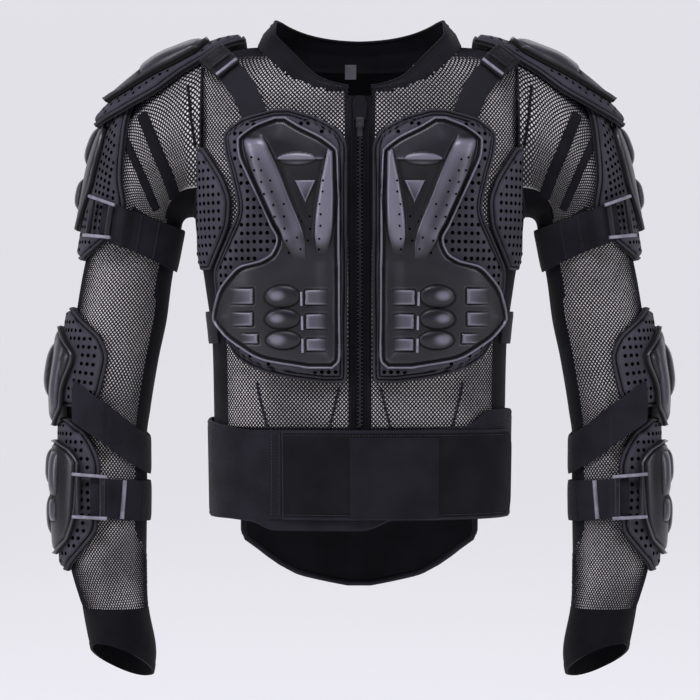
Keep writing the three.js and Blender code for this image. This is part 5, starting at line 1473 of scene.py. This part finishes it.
# Collar
def collar_form():
    turns = np.concatenate([[COLLAR_SPLIT], np.linspace(12, 348, 169), [360 - COLLAR_SPLIT]])
    key = np.where(turns > 180, 360 - turns, turns)
    side = np.where(turns > 180, -1.0, 1.0)
    cosine = np.cos(turns * RAD)
    depth = np.where(cosine > 0, NECK_FRONT, NECK_BACK) - SEAM * 3
    foot = np.stack([(NECK_HALF - SEAM * 3) * signed_power(np.sin(turns * RAD), 2 / NECK_SQUARE),
                     -depth * signed_power(cosine, 2 / NECK_SQUARE), np.zeros(len(turns))], -1)
    low, high = np.full(len(turns), -BODY_DROP / 4), np.full(len(turns), BODY_DROP * 0.045)
    for _ in range(30):
        z = (low + high) / 2
        above = body_level(np.stack([foot[:, 0], foot[:, 1], z], -1)) > 1
        high, low = np.where(above, z, high), np.where(above, low, z)
    foot[:, 2] = (low + high) / 2
    rim = np.stack([side * (NECK_HALF + SEAM) * COLLAR("out", key), -NECK_FRONT * COLLAR("forward", key),
                    foot[:, 2] + COLLAR_HEIGHT * COLLAR("rise", key)], -1)
    inward = unit(foot * [-1, -1, 0])
    swell = mix(foot, rim, 0.5) - inward * COLLAR_WALL
    marks = np.stack([foot - [0, 0, COLLAR_TUCK], foot + [0, 0, SEAM], swell, rim], 1)
    t = np.linspace(0, 3, 22)
    lower = np.minimum(t.astype(int), 2)
    share = t - lower
    step = marks[:, lower + 1] - marks[:, lower]
    line = marks[:, lower] + step * smooth(share)[None, :, None] * 0.35 + step * share[None, :, None] * 0.65
    seam = 0.9 * np.exp(-((t - 2.72) / 0.05) ** 2) - 0.5 * np.exp(-((t - 2.6) / 0.05) ** 2)
    outer = line - inward[:, None] * seam[None, :, None]
    inner = line + inward[:, None] * COLLAR_WALL
    return outer, inner, rim + inward * COLLAR_WALL / 2


outer, inner, rim = collar_form()
collar = make_piece("collar_made", [slab(outer, inner)], [COLLAR_CLOTH], ["collar"])
edge = tube(rim, 1.9, closed=False, sides=10)
collar_edge = make_piece("collar_edge", [edge], [COLLAR_CLOTH])
cut_size(outer)


# Zip: tapes, teeth, garage and the bare tab
ZIP_TOP = NECK_FRONT * 0.45


def on_front(z, x, out):
    z, x, out = np.broadcast_arrays(np.asarray(z, float), x, out)
    point = on_body(z, turn_at(x, z), out)
    return np.stack([x, point[..., 1], z], -1)


def zip_part(down, out, *sizes):
    """A small block that stands on the zip, below its top."""
    z = -ZIP_TOP - down
    facing = unit(on_front(z, 0.0, 10.0) - on_front(z, 0.0, 0.0))
    return standing(block(*sizes), on_front(z, 0.0, out), facing, np.array([0, 0, 1.0]))


z, x = np.meshgrid(np.linspace(-ZIP_TOP, -BODY_DROP + NET_WALL, 160), np.linspace(-ZIP_HALF, ZIP_HALF, 61),
                   indexing="ij")
ridges = 1.6 * np.exp(-((np.abs(x) - 9.4) / 1.3) ** 2) + 1.2 * np.exp(-((np.abs(x) - 6.2) / 0.9) ** 2)
tape = slab(on_front(z, x, 0.3 + ridges), on_front(z, x, -NET_WALL))
placket = make_piece("zip_placket_made", [tape], [ZIP_TAPE], ["zip_placket"])
cut_size(on_front(z, x, 0.0))
tooth_z = np.arange(-ZIP_TOP - 3, -FLAP_TOP + GAP, -2.1)
tooth_x = np.where(np.arange(len(tooth_z)) % 2 == 0, -1.0, 1.0)
spots = on_front(tooth_z, tooth_x, 1.7)
facing = unit(on_front(tooth_z, 0 * tooth_x, 10.0) - on_front(tooth_z, 0 * tooth_x, 0.0))
teeth = set_out("zip_teeth_made", "block", spots, facing, np.tile([1.0, 0, 0], (len(spots), 1)),
                (4.2, 1.3, 2.2), TEETH, both=False)
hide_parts("zip_teeth")
v, u = np.meshgrid(np.linspace(0, 1, 30), np.linspace(-1, 1, 21), indexing="ij")
garage_x = u * 8.5 * np.interp(v, [0, 0.35, 1], [0.5, 1.0, 0.8])
garage_z = -ZIP_TOP - 27 * v
garage_rise = 2.9 + 1.7 * (0.35 + 0.65 * (1 - u ** 4)) + 0.6 * np.exp(-((np.abs(u) - 0.8) / 0.08) ** 2)
garage = slab(on_front(garage_z, garage_x, garage_rise), on_front(garage_z, garage_x, 2.9))
make_piece("zip_garage_made", [garage], [COLLAR_CLOTH], ["zip_garage"])
zip_parts = [zip_part(30, 2.4, 11, 9, 2.6, 0.9), zip_part(38, 3.0, 15, 5.6, 1.8, 0.6)]
make_piece("zip_slider", zip_parts, [TEETH])

tab_low, tab_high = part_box("neck_tab")
v, u = np.meshgrid(np.linspace(0, 1, 20), np.linspace(0, 1, 14), indexing="ij")
back_middle = inner[len(inner) // 2, :, 1]
tab_y = mix(float(back_middle[9]) - 1.4, float(back_middle[0]) - 3.0, v)
tab_y -= 0.3 * np.exp(-((v - 0.12) / 0.03) ** 2)
tab_z = mix(tab_high.z, tab_low.z, v * 0.86) / MM + TAB_RAISE
tab_front = np.stack([mix(tab_low.x, tab_high.x, u) / MM, tab_y, tab_z], -1)
form = slab(tab_front, tab_front + [0, 1.1, 0])
tab = make_piece("neck_tab_made", [form], [TAB_CLOTH], ["neck_tab"])
cut_size(tab_front)


# Belt: elastic round the waist, its flap with the stitched strip, and the bare patch
def belt_base(turn, z):
    turn = np.abs(((turn + 180) % 360) - 180)
    over = np.clip((turn - turn_at(BACK_HALF * 1.02, z, True) + 14) / 12, 0, 1)
    return GAP + (BACK_WALL + SEAM * 4) * smooth(over)


v, turn_grid = np.meshgrid(np.linspace(0, 1, 40), np.linspace(-180, 180, 241)[:-1], indexing="ij")
belt_z = -BELT_TOP - BELT_WIDTH * mix(BELT("top", turn_grid), BELT("bottom", turn_grid), v)
belt_inset = np.minimum(v, 1 - v) * BELT_WIDTH
belt_low = belt_base(turn_grid, belt_z)
belt_rise = BELT_WALL * (0.62 + 0.38 * smooth(belt_inset / 2.4))
belt_rise -= 0.7 * np.exp(-((belt_inset - 6.5) / 0.8) ** 2)
flat = np.stack([v * BELT_WIDTH, turn_grid * 3.0], -1)
belt_in = on_body(belt_z, turn_grid, belt_low)
band = slab(on_body(belt_z, turn_grid, belt_low + belt_rise), belt_in, flat, closed_columns=True)
belt = make_piece("waist_belt_made", [band], [BELT_ELASTIC], ["waist_belt"])
cut_size(belt_in)

flap_middle = -FLAP_TOP - FLAP_HEIGHT / 2
flap_start, flap_end = float(turn_at(-FLAP_RIGHT, flap_middle)), float(turn_at(FLAP_LEFT, flap_middle))
corner_turn = FLAP_CORNER / CHEST_HALF / RAD


def flap_place(turn, v, out):
    left = 1 - np.minimum((flap_end - turn) / corner_turn, 1)
    rounding = FLAP_CORNER * (1 - np.sqrt(np.maximum(1 - left ** 2, 0)))
    return on_body(mix(-FLAP_TOP - rounding, -FLAP_TOP - FLAP_HEIGHT + rounding, v), turn, out)


curve_turns = flap_end - corner_turn + corner_turn * np.sin(np.linspace(0, math.pi / 2, 24))
flap_turns = np.concatenate([np.linspace(flap_start, flap_end - corner_turn, 120)[:-1], curve_turns])
turn_grid, v = np.meshgrid(flap_turns, crowded(FLAP_HEIGHT, 9, 0.9, 4), indexing="ij")
flap_low = flap_place(turn_grid, v, FLAP_BASE)
flap_inset = inset_from(flap_low, rim_of(flap_low))
flap_rise = FLAP_WALL * (0.5 + 0.35 * smooth(flap_inset / 1.6) + 0.15 * smooth((flap_inset - 5.6) / 3)
                         - 0.12 * np.exp(-((flap_inset - 5.2) / 0.7) ** 2))
flap = slab(flap_place(turn_grid, v, FLAP_BASE + flap_rise), flap_low)
flap.finish = np.where(inset_from(flap.points[flap.faces].mean(1), rim_of(flap_low)) < 5.0, 1, 0)
belt_flap = make_piece("belt_flap_made", [flap], [FLAP_CLOTH, BINDING], ["belt_flap"])
cut_size(flap_low)[::-1]


def belt_plate(right, left, top, height, base, thick):
    """A flat piece on the belt's flap, with a sewn line round its edge."""
    middle = -top - height / 2
    start, end = float(turn_at(right, middle)), float(turn_at(left, middle))
    turn_grid, v = np.meshgrid(mix(start, end, crowded(left - right, EDGE_BAND, 0.7, 4)),
                               crowded(height, EDGE_BAND, 0.7, 4), indexing="ij")
    low = on_body(-top - height * v, turn_grid, base)
    inset = inset_from(low, rim_of(low))
    rise = thick * (0.5 + 0.5 * smooth(inset / 1.2)) - 0.25 * np.exp(-((inset - 2.6) / 0.5) ** 2)
    return slab(on_body(-top - height * v, turn_grid, base + rise), low)


strip_end = -FLAP_RIGHT - SEAM
strip = belt_plate(strip_end - STRIP_WIDTH, strip_end, FLAP_TOP, FLAP_HEIGHT, FLAP_BASE, WEBBING)
make_piece("belt_strip_made", [strip], [ARM_ELASTIC], ["belt_strip"])
plain = belt_plate(-PATCH_RIGHT, PATCH_LEFT, FLAP_TOP + PATCH_INSET, PATCH_HEIGHT,
                   FLAP_BASE + FLAP_WALL + SEAM, 1.0)
patch = make_piece("belt_patch_made", [plain], [PATCH_CLOTH], ["belt_patch"])


# Cuffs
def cuff_form():
    angle = np.linspace(0, 360, 97)[:-1]
    inner = (1 - np.cos(angle * RAD)) / 2
    back = (1 - np.sin(angle * RAD)) / 2

    def mouth(out):
        point = on_arm(np.ones(len(angle)), angle, out)
        point[:, 2] = -ARM_DROP - SEAM - CUFF_LENGTH - CUFF_SLANT * (0.7 * inner + 0.9 * back - 0.35)
        point[:, 0] -= 10 - 4 * inner
        point[:, 1] -= 8
        return point

    def ring(out):
        top, end = on_arm(np.ones(len(angle)), angle, out - 0.4), mouth(out)
        top[:, 2] = -ARM_DROP - SEAM
        return top, end

    t = np.linspace(0, 1, 40)[:, None, None]
    top, end = ring(0.8)
    top_in, end_in = ring(0.8 - CUFF_WALL)
    bulge = 5.0 * inner[None, :] * np.sin(t[..., 0] ** 1.4 * math.pi)
    wave = 0.9 * np.sin(angle * RAD * 3 + 0.6) * (0.4 + 0.6 * np.cos(angle * RAD * 2 + 1))
    fold = bulge + wave[None, :] * np.sin(t[..., 0] * math.pi)
    hem = 0.5 * smooth((t[..., 0] - 0.86) / 0.02) - 0.4 * np.exp(-((t[..., 0] - 0.86) / 0.012) ** 2)
    outward = unit((top + end) / 2 - ((top + end) / 2).mean(0)) * [1, 1, 0.0]
    outer = mix(top, end, t) + outward[None] * (fold + hem)[..., None]
    lining = mix(top_in, end_in, t) + outward[None] * fold[..., None]
    return slab(outer, lining, closed_columns=True), cut_size(outer)


form, size = cuff_form()
for cuff in make_pair("cuff", [form], [CUFF_CLOTH]):
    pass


def armhole_path(out):
    """The line along which the sleeve leaves the body."""
    angle = np.linspace(0, 360, 121)[:-1]
    low, high = np.full(len(angle), -0.08), np.full(len(angle), 0.2)
    for _ in range(30):
        at = (low + high) / 2
        beyond = body_level(on_arm(at, angle, 0.0)) > 1
        low, high = np.where(beyond, low, at), np.where(beyond, at, high)
    return on_arm(np.maximum(at, SLEEVE_START), angle, out)


make_pair("armhole_seam", [tube(armhole_path(-0.2), 1.1)], [BINDING], extra=True)


# Seams and bands sewn on the net: picture points along each, on the half seen at the picture's left
def sewn(surface, spot, lines, rows):
    """Tapes along lines of picture points, each with its width and rise."""
    tapes = []
    for points, width, rise in lines:
        across, down = np.array(points, float).T
        tapes.append(band_on(surface, *spot(2 * MIDDLE_POINT - across, down), width, NET_RIDGE, rise, rows))
    return tapes


BODY_SEAMS = [
    ([(256, 381), (260, 400), (268, 431)], 2.6, 1.2),
    ([(339, 386), (334, 408), (328, 431)], 2.6, 1.2),
]
SLEEVE_BANDS = [
    ([(187, 82), (188, 100), (190, 120), (194, 150)], 3.0, 1.3),
    ([(119, 124), (127, 145), (137, 168), (148, 190), (158, 212)], 9.0, 2.2),
    ([(140, 112), (149, 134), (159, 157), (169, 180), (176, 200)], 13.0, 2.6),
    ([(132, 208), (143, 215), (152, 220), (163, 224)], 4.0, 1.6),
]
make_pair("body_net_seams", sewn(on_body, body_spot, BODY_SEAMS, 5), [BINDING], extra=True)
make_pair("sleeve_bands", sewn(on_arm, arm_spot, SLEEVE_BANDS, 9), [PANEL], extra=True)

# Stitches
stitch_lines = []
edge_turns = np.linspace(flap_start + 1.0, flap_end - corner_turn * 0.8, 90)
for share in (0.055, 0.945):
    stitch_lines.append([flap_place(edge_turns, share, out) for out in (FLAP_BASE + FLAP_WALL * 0.92, 40.0)])
for x in (-FLAP_RIGHT - 3.0, -FLAP_RIGHT - STRIP_WIDTH + 3.0):
    line_z = np.linspace(-FLAP_TOP - 4, -FLAP_TOP - FLAP_HEIGHT + 4, 30)
    turns = turn_at(np.full(30, x), line_z)
    stitch_lines.append([on_body(line_z, turns, out) for out in (FLAP_BASE + WEBBING + 0.1, 40.0)])
sewing = [stitches_along(path, over - path, STITCH_PITCH) for path, over in stitch_lines]
spots, facing, along = (np.concatenate(column) for column in zip(*sewing))
set_out("belt_stitches", "stitch", spots, facing, along, STITCH, THREAD, both=False)


# Studio
def make_studio():
    made = bmesh.new()
    sweep = np.linspace(0, math.pi / 2, 17)
    curve = [(3.2 + 2.4 * math.sin(a), 1.54 - 2.4 * math.cos(a)) for a in sweep]
    profile = [(-6.0, -0.86), *curve, (5.6, 6.0)]
    rows = [[made.verts.new((x, y, z)) for y, z in profile] for x in (-9.0, 9.0)]
    for i in range(len(profile) - 1):
        face = made.faces.new((rows[0][i], rows[1][i], rows[1][i + 1], rows[0][i + 1]))
        face.smooth = True
    mesh = bpy.data.meshes.new("studio_floor")
    made.to_mesh(mesh)
    made.free()
    floor = bpy.data.objects.new("studio_floor", mesh)
    floor.data.materials.append(make_floor())
    bpy.context.scene.collection.objects.link(floor)


def add_light(name, place, size, power):
    lamp = bpy.data.lights.new(name, "AREA")
    lamp.shape, lamp.size, lamp.size_y = "RECTANGLE", size[0], size[1]
    lamp.energy, lamp.color = power, LIGHT_COLOUR
    holder = bpy.data.objects.new(name, lamp)
    bpy.context.scene.collection.objects.link(holder)
    holder.location = place
    holder.rotation_mode = "QUATERNION"
    holder.rotation_quaternion = (Vector(MIDDLE) - Vector(place)).to_track_quat("-Z", "Y")


make_studio()
MIDDLE, LIGHT_COLOUR = (0.0, 0.0, -0.32), (0.97, 0.955, 1.08)
add_light("overhead softbox", (-0.3, -1.7, 1.9), (1.4, 0.6), 40)
add_light("left softbox", (-2.3, -1.1, 0.5), (0.4, 1.6), 22)
add_light("right softbox", (2.3, -1.1, 0.5), (0.4, 1.6), 15)
add_light("back softbox", (0.0, 2.2, 1.6), (3.0, 1.2), 10)
world = bpy.data.worlds.new("soft studio")
bpy.context.scene.world = world
world.use_nodes = True
background = world.node_tree.nodes["Background"]
background.inputs["Color"].default_value = (0.9, 0.91, 0.95, 1)
background.inputs["Strength"].default_value = 0.1
bpy.context.scene.view_settings.view_transform = "Standard"

camera = bpy.data.cameras.new("camera")
camera.sensor_width = SENSOR
camera.lens = SENSOR * CAMERA_DISTANCE / (IMAGE_SIDE * POINT)
stand = bpy.data.objects.new("camera", camera)
bpy.context.scene.collection.objects.link(stand)
stand.location = ((IMAGE_SIDE / 2 - MIDDLE_POINT) * POINT * MM, -CAMERA_DISTANCE * MM, CAMERA_HEIGHT * MM)
stand.rotation_euler = (math.pi / 2, 0, 0)
camera.clip_end = 100
bpy.context.scene.camera = stand
